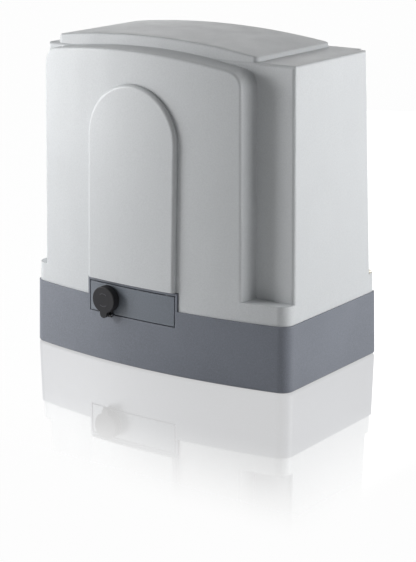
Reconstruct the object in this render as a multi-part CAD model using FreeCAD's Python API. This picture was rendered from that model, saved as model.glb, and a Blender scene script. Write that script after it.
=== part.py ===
import FreeCAD, Part
import math
import os

from FreeCAD import Vector

# Sliding gate motor. Millimetres, +Z up, +Y to the gate's rack, front of the motor towards -Y.
# The origin is the middle of the base's footprint, on its underside.

# Base casting
base_width = 300.0
base_depth = 175.7
base_height = 63.0
half_width = base_width / 2
front_y = -base_depth / 2
rear_y = base_depth / 2
base_wall = 5.0
base_floor = 6.0
base_draft = 0.019
bow_depth = 16.6
front_corner_radius = 13.0
rear_corner_radius = 5.0
front_corner_inner_radius = 2.0
rear_corner_inner_radius = 1.0
base_foot_radius = 2.5
base_skin_setback = 0.8
floor_rib_half = 2.0
floor_rib_reach = 26.0
floor_rib_height = 30.0
floor_rib_places = (-36.0, 44.0)
surround_left = -71.7
surround_right = 36.2
surround_rise = 17.5
surround_top = base_height + surround_rise

# Drive line
drive_x = -16.0
drive_z = 85.0
mesh_y = 22.0
worm_module = 2.5
wheel_teeth = 30
worm_pitch_radius = 11.0
wheel_width = 12.0
pressure_angle = math.radians(20)
tooth_dedendum = 1.25
flank_points = 5
mesh_backlash = 0.5
tooth_tip_relief = 0.3
worm_turns = 5
worm_shoulder = 6.0
pinion_module = 4.0
pinion_teeth = 16
pinion_width = 28.0
pinion_gap = 5.0

# Cover
flange_inset = 1.2
flange_height = 18.3
cover_draft = 0.0269
cover_wall = 3.0
flange_relief = 0.5
flush_step = 0.05
body_corner_radius = 3.5
body_inner_radius = 2.0
body_front_inset = 30.35
cover_body_front = front_y + body_front_inset
body_rear_inset = 10.35
cover_body_rear = rear_y - body_rear_inset
rear_step_side_inset = 12.2
cover_rear_half = half_width - rear_step_side_inset
rear_step_inset = 3.55
cover_rear_y = rear_y - rear_step_inset
rear_step_radius = 2.0
surround_cut_depth = 8.0
arch_cut_depth = 12.0
deck_z = 297.0
deck_front_radius = 3.5
deck_side_radius = 2.0
cover_rib_half = 1.0
cover_rib_places = (-100.0, -58.0, 26.0, 68.0)
cover_rib_end_gap = 10.0
crown_x = -28.0
bulge_left_inset = 16.7
bulge_left = -half_width + bulge_left_inset
bulge_right_inset = 47.8
bulge_right = half_width - bulge_right_inset
bulge_right_setback = 9.85
bulge_right_y = front_y + bulge_right_setback
bulge_flare = 0.17
bulge_edge_radius = 2.5
block_radius = 1.0
bulge_corner_radius = 16.0
bulge_rise = 4.0
bulge_top_z = deck_z + bulge_rise
bulge_crown_radius = 665.0
plate_left_inset = 18.5
plate_left = -half_width + plate_left_inset
plate_right_inset = 50.2
plate_right = half_width - plate_right_inset
plate_front_inset = 37.85
plate_front = front_y + plate_front_inset
plate_rear_inset = 13.35
plate_rear = rear_y - plate_rear_inset
plate_draft = 0.18
plate_sink = 4.0
plate_rise = 14.0
plate_top_z = deck_z + plate_rise
plate_crown_radius = 845.0
plate_corner_radius = 5.0
plate_inner_radius = 0.5
plate_edge_radius = 2.2

# Arched front panel
panel_x = -17.9
panel_half = 52.0
panel_apex_drop = 26.5
panel_apex_z = deck_z - panel_apex_drop
panel_thickness = 4.5
panel_edge_radius = 3.6
panel_seat_gap = 0.2
panel_foot_gap = 0.5

# Release door, its hinge pin and its cam
door_left = -68.4
door_right = 33.0
door_bottom_drop = 14.6
door_bottom = base_height - door_bottom_drop
door_top_rise = 13.8
door_top = base_height + door_top_rise
door_thickness = 3.0
door_gap = 1.0
door_rib_thickness = 1.6
door_rib_depth = 2.2
door_rib_sink = 0.5
door_rib_edge = 1.5
door_rib_end_gap = 8.0
hinge_x = 23.3
hinge_setback = 5.65
hinge_y = front_y + hinge_setback
hinge_pin_radius = 2.0
hinge_pin_foot = 2.0
hinge_barrel_radius = 3.6
hinge_barrel_gap = 0.5
hinge_boss_radius = 5.0
hinge_boss_height = 9.0
cam_start_radius = 4.2
cam_lift_per_radian = 3.9
cam_turn = math.radians(90)
cam_drop = 5.0
cam_bottom = base_height - cam_drop
cam_height = 9.0
cam_steps = 8
nose_radius = 2.0
cam_gap = 0.35

# Lock in the release door
lock_x = -44.2
lock_rise = 0.5
lock_z = base_height + lock_rise
lock_seat_setback = 1.45
lock_seat_y = front_y + lock_seat_setback
lock_seat_radius = 11.5
bezel_radius = 9.6
bezel_depth = 4.6
plug_radius = 6.5
plug_length = 13.0
plug_proud = 1.0
key_slot_half = 0.6
key_slot_reach = 3.5
key_slot_depth = 6.0
tongue_length = 21.0
tongue_width = 8.0
tongue_thickness = 2.5
cap_radius = 13.0
cap_depth = 8.2
cap_wall = 2.6
cap_face = 2.4
cap_edge_radius = 0.9
cap_gap = 0.4
cap_ear_gap = 0.4
cap_notch_gap = 0.1
cap_notch_margin = 0.8
cap_notch_front = 0.5
cap_notch_rise = 2.3
cap_strap_back = 0.5
cap_strap_lap = 0.5
cap_pull_radius = 4.0
cap_pull_drop = 4.7
cap_pull_thickness = 2.6
cap_pin_drop = 15.5
cap_pin_z = lock_z - cap_pin_drop
cap_pin_reach = 2.4
cap_pin_y = lock_seat_y - cap_pin_reach
cap_pin_radius = 1.0
cap_knuckle_radius = 2.0
cap_tab_width = 7.0
cap_ear_width = 1.6

# Release linkage
yoke_thickness = 5.0
yoke_bar_width = 8.0
yoke_cross_y = -30.0
yoke_riser_half = 7.0
yoke_nose_length = 6.0
yoke_nose_taper = 6.0
guide_wall = 4.0
guide_setback = 20.2
guide_front = hinge_y + guide_setback
guide_length = 12.0
guide_rear = guide_front + guide_length
release_pin_radius = 4.0
release_pin_length = 44.0
spring_radius = 6.6
spring_wire = 0.8
spring_turns = 5
spring_pitch = 3.4
spring_end_gap = 0.1

# Gearbox
gearbox_front = 4.0
gearbox_rear = 40.0
gearbox_wall = 5.0
gearbox_lid = 4.0
gear_room = 2.0
tower_wall = 5.0
tower_top = 133.0
gearbox_foot_left = -52.0
gearbox_foot_right = 48.0
gearbox_foot_width = 24.0
gearbox_foot_height = 7.0
gearbox_web_half = 4.0
gearbox_web_inset = 3.0
gearbox_web_end_gap = 8.0
gearbox_web_below_shaft = 20.0
gearbox_nose_wall = 8.0
gearbox_nose_length = 6.0
shaft_way_gap = 1.0
lid_screw_count = 6
lid_screw_radius = 2.0
lid_screw_span = math.radians(250)
lid_screw_start = math.radians(55)
lid_screw_depth = 12.0
lid_screw_hole_depth = 14.0
lid_screw_head = 2.6
lid_screw_socket = 1.4
screw_head_share = 1.8
screw_socket_share = 0.9
lid_bearing_lip = 2.0
lid_boss_reach = 6.0
lid_way_gap = 2.0
lid_rib_half = 1.5
lid_rib_height = 3.0
lid_rib_end_gap = 6.0

# Ball bearings
bearing_groove_in = 0.3
bearing_groove_out = 0.7
bearing_groove_depth = 0.8

# Output shaft and what it carries
shaft_radius = 10.0
shaft_front = 4.0
shaft_collar_radius = 13.0
shaft_bearing_outer = 21.0
shaft_bearing_width = 12.0
shaft_collar_gap = 4.0
shaft_end_gap = 1.0
shaft_bore_depth = 36.0
shaft_thread_radius = 3.4
shaft_thread_depth = 20.0
rear_bearing_inset = 19.85
rear_bearing_y = rear_y - rear_bearing_inset
rear_boss_lip = 2.0
seal_width = 6.0
seal_gap = 0.3
seal_inner_gap = 3.0
seal_lip_outer_gap = 4.0
seal_lip_front = 2.0
seal_lip_rear = 4.0
boss_wall = 6.0
key_width = 6.0
key_height = 6.0
key_length = 20.0
pinion_thinning = 0.1
pinion_recess_wall = 4.0
pinion_recess_depth = 4.0
pinion_hub_wall = 7.0
washer_reach = 4.0
washer_thickness = 2.5
pinion_screw_corner = 7.5
pinion_screw_head = 5.0
pinion_screw_length = 18.0

# Worm wheel body
wheel_hub_wall = 7.0
wheel_web_half = 2.5
wheel_web_gap = 2.0
wheel_rim_wall = 5.0
wheel_hub_front = 1.4
wheel_hub_rear = 3.7
worm_core_overlap = 0.4

# Rear arch of the base
arch_half = 34.0
arch_top = 160.0
arch_thickness = 6.0
arch_gap = 1.2

# Motor
stator_slot_count = 12
stator_slot_half = 2.0
stator_slot_wall = 6.0
rotor_ring_outer_gap = 3.0
rotor_ring_inner_gap = 9.0
rotor_ring_height = 6.0
rotor_ring_proud = 5.0
winding_inner_gap = 3.0
winding_outer_gap = 14.0
winding_height = 10.0
winding_gap = 0.2
winding_radius = 3.0
bell_floor = 4.0
bell_hollow_depth = 5.0
bell_height = 13.0
bell_bearing_wall = 4.0
bell_shaft_gap = 1.0
bell_top_wall = 2.0
worm_bearing_setback = 2.0
top_bearing_gap = 1.0
rotor_shaft_proud = 8.0
motor_bolt_head = 3.0
motor_radius = 46.0
motor_case_wall = 3.0
motor_flange = 6.0
motor_flange_radius = 38.0
motor_bell_height = 9.0
motor_case_height = 72.0
motor_stack_height = 46.0
motor_air_gap = 0.8
rotor_radius = 24.0
rotor_shaft_radius = 6.0
worm_bearing_outer = 16.0
worm_bearing_width = 10.0
top_bearing_outer = 14.0
top_bearing_width = 8.0
motor_ear_radius = 5.0
motor_bolt_radius = 2.0
motor_bolt_circle = 49.0
motor_bolt_count = 4

# Electrics
board_left = -92.0
board_right = 62.0
board_bottom = 105.0
board_top = 215.0
board_thickness = 1.6
board_setback = 31.85
board_y = front_y + board_setback
board_standoff = 3.0
board_hole_inset = 6.0
board_hole_radius = 1.6
board_screw_radius = 1.25
board_screw_length = 6.0
board_screw_head_radius = 2.8
board_screw_head = 2.0
board_post_radius = 3.5
board_post_hole_radius = 1.3
board_post_hole_depth = 10.0
tray_thickness = 3.0
tray_margin = 8.0
tray_rim = 6.0
tray_rim_wall = 2.0
tray_leg_width = 12.0
tray_leg_inset = 10.0
tray_leg_lap = 10.0
tray_foot_length = 16.0
tray_foot_height = 3.0
tray_gusset_half = 1.0
tray_gusset_height = 40.0
terminal_count = 5
terminal_pitch = 26.0
terminal_width = 23.0
terminal_inset = 14.0
terminal_lift = 3.0
terminal_ways = 4
terminal_depth = 14.0
terminal_chin = 12.0
terminal_back = 8.0
terminal_step_low = 4.0
terminal_step_high = 8.0
terminal_height = 13.0
terminal_hole_half = 1.8
terminal_hole_depth = 6.0
terminal_hole_low = 1.5
terminal_hole_high = 6.0
relay_count = 3
relay_pitch = 24.0
relay_width = 19.0
relay_depth = 15.0
relay_height = 16.0
relay_lift = 30.0
relay_edge = 0.8
fuse_inset = 40.0
fuse_lift = 34.0
fuse_length = 26.0
fuse_base_height = 9.0
fuse_base_depth = 3.0
fuse_radius = 2.5
fuse_reach = 6.5
fuse_end_gap = 3.0
fuse_clip_width = 5.0
fuse_clip_depth = 9.5
fuse_clip_sink = 2.0
fuse_clip_edge = 1.0
transformer_inset = 50.0
transformer_x = -half_width + transformer_inset
transformer_radius = 32.0
transformer_hole = 10.0
transformer_height = 38.0
transformer_edge_radius = 7.0
transformer_pad = 2.0
transformer_pad_gap = 8.0
clamp_dish_gap = 10.0
clamp_dish_top_gap = 14.0
clamp_dish_height = 3.0
clamp_stud_radius = 3.0
clamp_stud_proud = 9.0
clamp_nut_corner = 5.8
clamp_nut_height = 5.0
capacitor_inset = 38.0
capacitor_x = half_width - capacitor_inset
capacitor_y = 20.0
capacitor_radius = 18.0
capacitor_height = 76.0
capacitor_lift = 3.0
capacitor_edge_radius = 2.0
capacitor_blade_place = 6.0
capacitor_blade_half_thickness = 0.4
capacitor_blade_half_width = 3.0
capacitor_blade_height = 10.0
clip_wall = 2.2
clip_height = 26.0
clip_foot_reach = 27.0
clip_foot_half = 7.0
clip_split_half = 2.0

# Limit switch
switch_inset = 14.85
switch_y = rear_y - switch_inset
switch_drop = 20.0
switch_z = arch_top - switch_drop
switch_half = 15.0
switch_reach = 9.5
switch_height = 22.0
switch_wall = 2.0
switch_hub_radius = 7.0
switch_stem_radius = 3.0
switch_pivot_radius = 2.5
switch_spring_radius = 4.5
switch_spring_length = 52.0
switch_spring_coils = 14
switch_spring_wire = 1.2
switch_spring_gap = 2.0
switch_swing = math.radians(25)
switch_window_gap = 1.0

# Fixings in the base floor
slot_margin_x = 70.0
slot_spacing_x = base_width - slot_margin_x
slot_margin_y = 59.7
slot_spacing_y = base_depth - slot_margin_y
slot_half_width = 5.25
slot_length = 26.0
slot_pad_height = 3.0
slot_pad_margin = 5.0
leveller_side_inset = 14.0
leveller_x = half_width - leveller_side_inset
leveller_rear_inset = 29.85
leveller_y = rear_y - leveller_rear_inset
leveller_radius = 4.0
leveller_length = 26.0
leveller_point = 1.0
leveller_slot_half = 0.7
leveller_slot_depth = 2.0
leveller_boss_radius = 7.5
leveller_boss_foot = 1.0
leveller_boss_height = 14.0
cable_side_inset = 100.0
cable_x = -half_width + cable_side_inset
cable_setback = 37.85
cable_y = front_y + cable_setback
cable_hole_radius = 20.0
grommet_hole_radius = 14.0
grommet_foot = 1.0
grommet_collar = 4.0
grommet_collar_height = 3.0
grommet_cone_height = 8.0
grommet_wall = 2.0
cover_screw_side_inset = 7.6
cover_screw_x = half_width - cover_screw_side_inset
cover_screw_rear_inset = 6.55
cover_screw_y = rear_y - cover_screw_rear_inset
cover_screw_radius = 2.0
cover_screw_head = 3.4
cover_screw_head_height = 2.4
cover_screw_head_edge = 0.9
cover_screw_cross_half = 2.2
cover_screw_cross_width = 0.9
cover_screw_cross_floor = 1.2
cover_screw_length = 42.0
cover_screw_end_room = 2.0
cover_boss_radius = 6.0
cover_boss_setback = 0.5

# Clearances
running_gap = 0.04
fit_gap = 0.02
seat_gap = 0.3
screw_gap = 0.15
# How far solids reach into each other before they are joined, and cutters past what they cut
overlap = 1.0

# Sizes that follow from those above
bow_radius = (half_width ** 2 + bow_depth ** 2) / (2 * bow_depth)
ledge_z = base_height + flange_height
panel_bottom = surround_top + panel_foot_gap
hinge_pin_low = door_bottom - door_gap - hinge_boss_height + hinge_pin_foot
cover_body_half = half_width - flange_inset - base_draft * ledge_z - flush_step
bulge_front_y = front_y + flange_inset + base_draft * ledge_z + flush_step
wheel_pitch_radius = worm_module * wheel_teeth / 2
wheel_tip_radius = wheel_pitch_radius + worm_module - tooth_tip_relief
worm_x = drive_x + wheel_pitch_radius + worm_pitch_radius
worm_pitch = math.pi * worm_module
worm_length = worm_turns * worm_pitch
worm_root_radius = worm_pitch_radius - 1.2 * worm_module
worm_bearing_low = drive_z - worm_length / 2 - worm_shoulder - worm_bearing_width
arch_rear = rear_y - base_draft * base_height
pinion_front = arch_rear + pinion_gap
shaft_end = pinion_front + pinion_width - shaft_end_gap
motor_base = tower_top + motor_bell_height
motor_top = motor_base + motor_case_height
above_all = plate_top_z + 30 * overlap


def box(x0, x1, y0, y1, z0, z1):
    return Part.makeBox(x1 - x0, y1 - y0, z1 - z0, Vector(x0, y0, z0))


def rod(radius, start, end):
    """Round bar from one point to another."""
    return Part.makeCylinder(radius, start.distanceToPoint(end), start, end - start)


def rod_y(radius, x, z, y0, y1):
    return rod(radius, Vector(x, y0, z), Vector(x, y1, z))


def rod_z(radius, x, y, z0, z1):
    return rod(radius, Vector(x, y, z0), Vector(x, y, z1))


def tube_z(outer, inner, x, y, z0, z1):
    return rod_z(outer, x, y, z0, z1).cut(rod_z(inner, x, y, z0 - overlap, z1 + overlap))


def tube_y(outer, inner, x, z, y0, y1):
    return rod_y(outer, x, z, y0, y1).cut(rod_y(inner, x, z, y0 - overlap, y1 + overlap))


def joined(solids):
    """One solid from several that overlap."""
    return solids[0].multiFuse(solids[1:]).removeSplitter()


def polygon(points):
    return Part.makePolygon(points + [points[0]])


def prism(wire, along):
    return Part.Face(wire).extrude(along)


def arc_about(centre, radius, start, end):
    """Arc in plan about a centre, between two angles."""
    def at(angle):
        return centre + Vector(radius * math.cos(angle), radius * math.sin(angle), 0)
    return Part.Arc(at(start), at((start + end) / 2), at(end)).toShape()


def bowed_outline(left, right, front, rear, front_radius, rear_radius, z):
    """Plan outline whose front is bowed about the middle plane of the base."""
    bow_centre = Vector(0, front + bow_radius, z)
    reach = bow_radius - front_radius
    x_l = left + front_radius
    x_r = right - front_radius
    corner_l = Vector(x_l, bow_centre.y - math.sqrt(reach ** 2 - x_l ** 2), z)
    corner_r = Vector(x_r, bow_centre.y - math.sqrt(reach ** 2 - x_r ** 2), z)
    angle_l = math.atan2(corner_l.y - bow_centre.y, corner_l.x)
    angle_r = math.atan2(corner_r.y - bow_centre.y, corner_r.x)
    rear_l = Vector(left + rear_radius, rear - rear_radius, z)
    rear_r = Vector(right - rear_radius, rear - rear_radius, z)
    quarter = math.pi / 2
    arcs = [
        arc_about(bow_centre, bow_radius, angle_l, angle_r),
        arc_about(corner_r, front_radius, angle_r, 0),
        arc_about(rear_r, rear_radius, 0, quarter),
        arc_about(rear_l, rear_radius, quarter, 2 * quarter),
        arc_about(corner_l, front_radius, 2 * quarter, 4 * quarter + angle_l),
    ]
    return linked(arcs)


def square_outline(left, right, front, rear, radius, z):
    """Plan rectangle with rounded corners."""
    quarter = math.pi / 2
    corners = [(right, front, 1, -1), (right, rear, 1, 1), (left, rear, -1, 1), (left, front, -1, -1)]
    arcs = []
    for turn, (x, y, side, end) in enumerate(corners):
        centre = Vector(x - side * radius, y - end * radius, z)
        arcs.append(arc_about(centre, radius, (turn - 1) * quarter, turn * quarter))
    return linked(arcs)


def linked(arcs):
    """Closed wire from arcs, with straight lines between them."""
    edges = []
    for index, arc in enumerate(arcs):
        following = arcs[(index + 1) % len(arcs)]
        end = arc.Vertexes[-1].Point
        start = following.Vertexes[0].Point
        edges.append(arc)
        if end.distanceToPoint(start) > 1e-6:
            edges.append(Part.LineSegment(end, start).toShape())
    return Part.Wire(edges)


def tapered(outline_at, z0, z1):
    """Solid between two heights of an outline that narrows upwards."""
    return Part.makeLoft([outline_at(z0), outline_at(z1)], True, True)


def edges_at_height(shape, z):
    found = []
    for edge in shape.Edges:
        bounds = edge.BoundBox
        if abs(bounds.ZMin - z) < 1e-3 and abs(bounds.ZMax - z) < 1e-3:
            found.append(edge)
    return found


def crown(centre_x, top_z, radius):
    """Long cylinder along Y whose upper side is a crowned top surface."""
    centre = Vector(centre_x, -base_depth, top_z - radius)
    return Part.makeCylinder(radius, 2 * base_depth, centre, Vector(0, 1, 0))


def base_outline(z, inset=0.0):
    shrink = inset + base_draft * z
    edge = max(front_corner_radius - inset, front_corner_inner_radius)
    rear_edge = max(rear_corner_radius - inset, rear_corner_inner_radius)
    return bowed_outline(-half_width + shrink, half_width - shrink, front_y + shrink, rear_y - shrink,
                         edge, rear_edge, z)


def base_block(z0, z1, inset=0.0):
    return tapered(lambda z: base_outline(z, inset), z0, z1)


def front_surface_y(x, z):
    """Y of the base's bowed front face."""
    return front_y + base_draft * z + bow_radius - math.sqrt(bow_radius ** 2 - x ** 2)


def slot_places():
    for side in (-1, 1):
        for end in (-1, 1):
            yield Vector(side * slot_spacing_x / 2, end * slot_spacing_y / 2, 0)


def leveller_places():
    for side in (-1, 1):
        for end in (-1, 1):
            yield Vector(side * leveller_x, end * leveller_y, 0)


def cover_screw_places():
    for side in (-1, 1):
        yield Vector(side * cover_screw_x, cover_screw_y, ledge_z)


def slot_shape(place, margin, z0, z1):
    """Rounded slot along X, grown by a margin."""
    reach = slot_length / 2 - slot_half_width
    radius = slot_half_width + margin
    ends = [rod_z(radius, place.x + side * reach, place.y, z0, z1) for side in (-1, 1)]
    middle = box(place.x - reach, place.x + reach, place.y - radius, place.y + radius, z0, z1)
    return joined([middle] + ends)


def arch_profile(half, top, y0, y1):
    """Upright slab with a round top, about the drive line."""
    spring_z = top - half
    slab = box(drive_x - half, drive_x + half, y0, y1, base_height - 2, spring_z)
    return joined([slab, rod_y(half, drive_x, spring_z, y0, y1)])


def base_housing():
    tub = base_block(0, surround_top)
    tub = tub.makeFillet(base_foot_radius, edges_at_height(tub, 0))
    tub = tub.cut(base_block(base_floor, surround_top + overlap, base_wall))
    above_rim = box(-base_width, base_width, 2 * front_y, 2 * rear_y, base_height, above_all)
    tub = tub.cut(above_rim.cut(box(surround_left, surround_right, 3 * front_y, 0, 0, 2 * above_all)))
    inside = base_block(0, surround_top, base_skin_setback)

    arch = arch_profile(arch_half, arch_top, arch_rear - arch_thickness, arch_rear)
    boss_front = rear_bearing_y - rear_boss_lip
    bearing_boss = rod_y(shaft_bearing_outer + boss_wall, drive_x, drive_z, boss_front, arch_rear)
    pieces = [tub, arch, bearing_boss]

    for low, high in ((door_bottom - door_gap - hinge_boss_height, door_bottom - door_gap),
                      (door_top + door_gap, surround_top)):
        pieces.append(rod_z(hinge_boss_radius, hinge_x, hinge_y, low, high).common(inside))
    for place in slot_places():
        pieces.append(slot_shape(place, slot_pad_margin, base_floor - overlap, base_floor + slot_pad_height))
    for place in leveller_places():
        boss = rod_z(leveller_boss_radius, place.x, place.y, leveller_boss_foot, leveller_boss_height)
        pieces.append(boss.common(inside))
    for place in cover_screw_places():
        boss = rod_z(cover_boss_radius, place.x, place.y, base_floor - overlap, base_height)
        pieces.append(boss.common(inside))
    pieces.append(yoke_guide())
    pieces += floor_ribs()
    casting = joined(pieces)

    opening = box(door_left - door_gap, door_right + door_gap, 2 * front_y, hinge_y + base_wall + 2 * overlap,
                  door_bottom - door_gap, door_top + door_gap)
    holes = [opening]
    holes.append(rod_z(hinge_pin_radius + fit_gap, hinge_x, hinge_y, hinge_pin_low, above_all))
    holes.append(rod_y(shaft_bearing_outer + fit_gap, drive_x, drive_z, 0, arch_rear + overlap))
    for place in slot_places():
        holes.append(slot_shape(place, 0, -1, base_height / 2))
    for place in leveller_places():
        holes.append(rod_z(leveller_radius + screw_gap, place.x, place.y, -1, base_height / 2))
    for place in cover_screw_places():
        depth = ledge_z - cover_screw_length - cover_screw_end_room
        holes.append(rod_z(cover_screw_radius + screw_gap, place.x, place.y, depth, base_height + overlap))
    holes.append(rod_z(cable_hole_radius, cable_x, cable_y, -1, base_floor + overlap))
    holes.append(switch_window(arch_rear - arch_thickness - overlap, arch_rear + overlap))
    return casting.cut(Part.makeCompound(holes)).removeSplitter()


def floor_ribs():
    """Ribs that tie the floor to the side walls."""
    inner_half = half_width - base_wall + 1 - base_draft * base_height
    ribs = []
    for y in floor_rib_places:
        for side in (-1, 1):
            foot = Vector(side * (inner_half - floor_rib_reach), y - floor_rib_half, base_floor - overlap)
            corner = Vector(side * inner_half, y - floor_rib_half, base_floor - overlap)
            top = Vector(side * inner_half, y - floor_rib_half, base_floor + floor_rib_height)
            ribs.append(prism(polygon([foot, corner, top]), Vector(0, 2 * floor_rib_half, 0)))
    return ribs


def yoke_guide():
    """Post whose slot guides the bar of the release yoke."""
    half = yoke_bar_width / 2 + seat_gap
    reach = half + guide_wall
    post = box(hinge_x - reach, hinge_x + reach, guide_front, guide_rear, base_floor - overlap,
               cam_bottom + cam_height)
    slot = box(hinge_x - half, hinge_x + half, guide_front - overlap, guide_rear + overlap,
               cam_bottom - seat_gap, above_all)
    return post.cut(slot)


def switch_window(y0, y1):
    sweep = (arch_rear - switch_y) * math.tan(switch_swing)
    reach = sweep + switch_spring_radius / math.cos(switch_swing) + switch_window_gap
    height = switch_spring_radius + switch_window_gap
    return box(drive_x - reach, drive_x + reach, y0, y1, switch_z - height, switch_z + height)


def cover_flange(inset, z0):
    def outline(z):
        shrink = flange_inset + inset + base_draft * z
        edge = max(front_corner_radius - inset, front_corner_inner_radius)
        rear_edge = max(rear_corner_radius - inset, rear_corner_inner_radius)
        return bowed_outline(-half_width + shrink, half_width - shrink, front_y + shrink, rear_y - shrink,
                             edge, rear_edge, z)
    return tapered(outline, z0, ledge_z - inset)


def lean(z):
    """How far a wall of the cover has drawn in at a height."""
    return cover_draft * (z - ledge_z)


def cover_body(inset, z0):
    def outline(z):
        half = cover_body_half - inset - lean(z)
        front = cover_body_front + inset + lean(z)
        rear = cover_body_rear - inset - lean(z)
        return square_outline(-half, half, front, rear, max(body_corner_radius - inset, body_inner_radius), z)
    top = deck_z - inset
    return tapered(outline, z0, top).cut(deck_rounding(top, inset))


def deck_rounding(top, inset):
    """What the rounded front and side edges take off the deck."""
    wide = base_width
    radius = deck_front_radius - inset / 2
    edge_y = cover_body_front + inset + lean(top - radius)
    centre = Vector(-wide, edge_y + radius, top - radius)
    beyond = 2 * radius
    corner = box(-wide, wide, edge_y - beyond, centre.y, centre.z, top + beyond)
    cuts = [corner.cut(Part.makeCylinder(radius, 2 * wide, centre, Vector(1, 0, 0)))]
    radius = deck_side_radius
    edge_x = cover_body_half - inset - lean(top - radius)
    for side in (-1, 1):
        x0, x1 = sorted((side * (edge_x - radius), side * (edge_x + beyond)))
        corner = box(x0, x1, -wide, wide, top - radius, top + beyond)
        cuts.append(corner.cut(rod_y(radius, side * (edge_x - radius), top - radius, -wide, wide)))
    return Part.makeCompound(cuts)


def cover_rear(inset, z0):
    def outline(z):
        half = cover_rear_half - inset - lean(z)
        rear = cover_rear_y - inset - lean(z)
        return square_outline(-half, half, 0, rear, rear_step_radius, z)
    return tapered(outline, z0, deck_z - inset)


def bulge_front(x, z):
    """Y of the bulge's bowed front face."""
    return bulge_front_y + lean(z) + bow_radius - math.sqrt(bow_radius ** 2 - x ** 2)


def cover_bulge(inset, z0):
    """Front bulge: a bowed block inside a crowned outline, with its front edge rounded."""
    beyond = half_width - front_corner_radius

    def outline(z):
        front = bulge_front_y + inset + lean(z)
        return bowed_outline(-beyond, beyond, front, 0, block_radius, block_radius, z)
    bulge = tapered(outline, z0, above_all).common(bulge_envelope(inset, z0))
    rim = []
    for edge in bulge.Edges:
        middle = edge.valueAt((edge.FirstParameter + edge.LastParameter) / 2)
        on_front = abs(middle.y - inset - bulge_front(middle.x, middle.z)) < 0.05
        if on_front and middle.z > z0 + 1:
            rim.append(edge)
    return bulge.makeFillet(bulge_edge_radius - inset / 2, rim)


def bulge_envelope(inset, z0):
    """Solid along Y with the bulge's crowned top and rounded shoulders; its right side flares to the rear."""
    views = [bulge_view(inset, z0, y) for y in (1.3 * front_y, 0.0)]
    return Part.makeLoft(views, True, True)


def bulge_view(inset, z0, y):
    right_x = bulge_right + bulge_flare * (y - bulge_right_y) - inset
    left_x = bulge_left + inset
    right = shoulder(1, right_x, cover_draft, inset, y)
    left = shoulder(-1, left_x, 0.0, inset, y)
    crest = Vector(crown_x, y, bulge_top_z - inset)
    foot_r = Vector(right_x + cover_draft * (ledge_z - z0), y, z0)
    foot_l = Vector(left_x, y, z0)
    return Part.Wire([
        Part.LineSegment(foot_l, foot_r).toShape(),
        Part.LineSegment(foot_r, right[0]).toShape(),
        Part.Arc(*right).toShape(),
        Part.Arc(right[2], crest, left[2]).toShape(),
        Part.Arc(left[2], left[1], left[0]).toShape(),
        Part.LineSegment(left[0], foot_l).toShape(),
    ])


def shoulder(side, side_x, slope, inset, y):
    """Three points of the arc that joins a leaning side to the crowned top, from the side upwards."""
    radius = bulge_corner_radius - inset / 2
    outward = Vector(side, 0, slope).normalize()
    along = Vector(-side * slope, 0, 1).normalize()
    crown_centre = Vector(crown_x, y, bulge_top_z - bulge_crown_radius)
    start = Vector(side_x, y, ledge_z) - outward * radius - crown_centre
    reach = bulge_crown_radius - inset - radius
    slide = start.dot(along)
    travel = math.sqrt(slide ** 2 - start.dot(start) + reach ** 2) - slide
    to_centre = start + along * travel
    centre = crown_centre + to_centre
    on_top = to_centre.normalize()
    between = (outward + on_top).normalize()
    return centre + outward * radius, centre + between * radius, centre + on_top * radius


def cover_plate(inset):
    """Crowned plate on top of the deck and the bulge, its sides drafted."""
    def outline(z):
        shrink = inset + plate_draft * (z - deck_z)
        corner = max(plate_corner_radius - shrink, plate_inner_radius)
        return square_outline(plate_left + shrink, plate_right - shrink, plate_front + shrink,
                              plate_rear - shrink, corner, z)
    block = tapered(outline, deck_z - plate_sink - inset, plate_top_z + 2)
    block = block.common(crown(crown_x, plate_top_z - inset, plate_crown_radius))
    if inset > 0:
        return block
    rim = [edge for edge in block.Edges if min(end.Z for end in edge.Vertexes) > deck_z + 1]
    return block.makeFillet(plate_edge_radius, rim)


def cover_form(inset, z0):
    """Outside of the cover, or its inside when it is inset by the wall."""
    flange = cover_flange(0, base_height) if inset == 0 else cover_flange(inset - flange_relief, z0)
    return joined([flange, cover_body(inset, z0), cover_rear(inset, z0), cover_bulge(inset, z0),
                   cover_plate(inset)])


def cover():
    shell = cover_form(0, ledge_z - overlap).cut(cover_form(cover_wall, base_height - overlap))
    cutouts = [
        box(surround_left - arch_gap / 2, surround_right + arch_gap / 2, 2 * front_y,
            hinge_y + surround_cut_depth, base_height - overlap, panel_bottom),
        arch_profile(arch_half + arch_gap, arch_top + arch_gap, cover_body_rear - arch_cut_depth, 2 * rear_y),
    ]
    pieces = [shell.cut(Part.makeCompound(cutouts))]
    for place in cover_screw_places():
        pillar = rod_z(cover_boss_radius, place.x, place.y, base_height, ledge_z - overlap)
        pieces.append(pillar.common(cover_flange(cover_boss_setback, base_height)))
    pieces += cover_ribs()
    shell = joined(pieces)
    for place in cover_screw_places():
        shell = shell.cut(rod_z(cover_screw_radius + screw_gap, place.x, place.y, 0, ledge_z + overlap))
    return shell


def cover_ribs():
    """Stiffening ribs inside the top of the cover."""
    under_crown = crown(crown_x, plate_top_z - cover_wall / 2, plate_crown_radius)
    ribs = []
    front = cover_body_front + 3 * cover_rib_end_gap
    rear = plate_rear - cover_rib_end_gap
    for x in cover_rib_places:
        rib = box(x - cover_rib_half, x + cover_rib_half, front, rear, deck_z, above_all)
        ribs.append(rib.common(under_crown))
    return ribs


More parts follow.
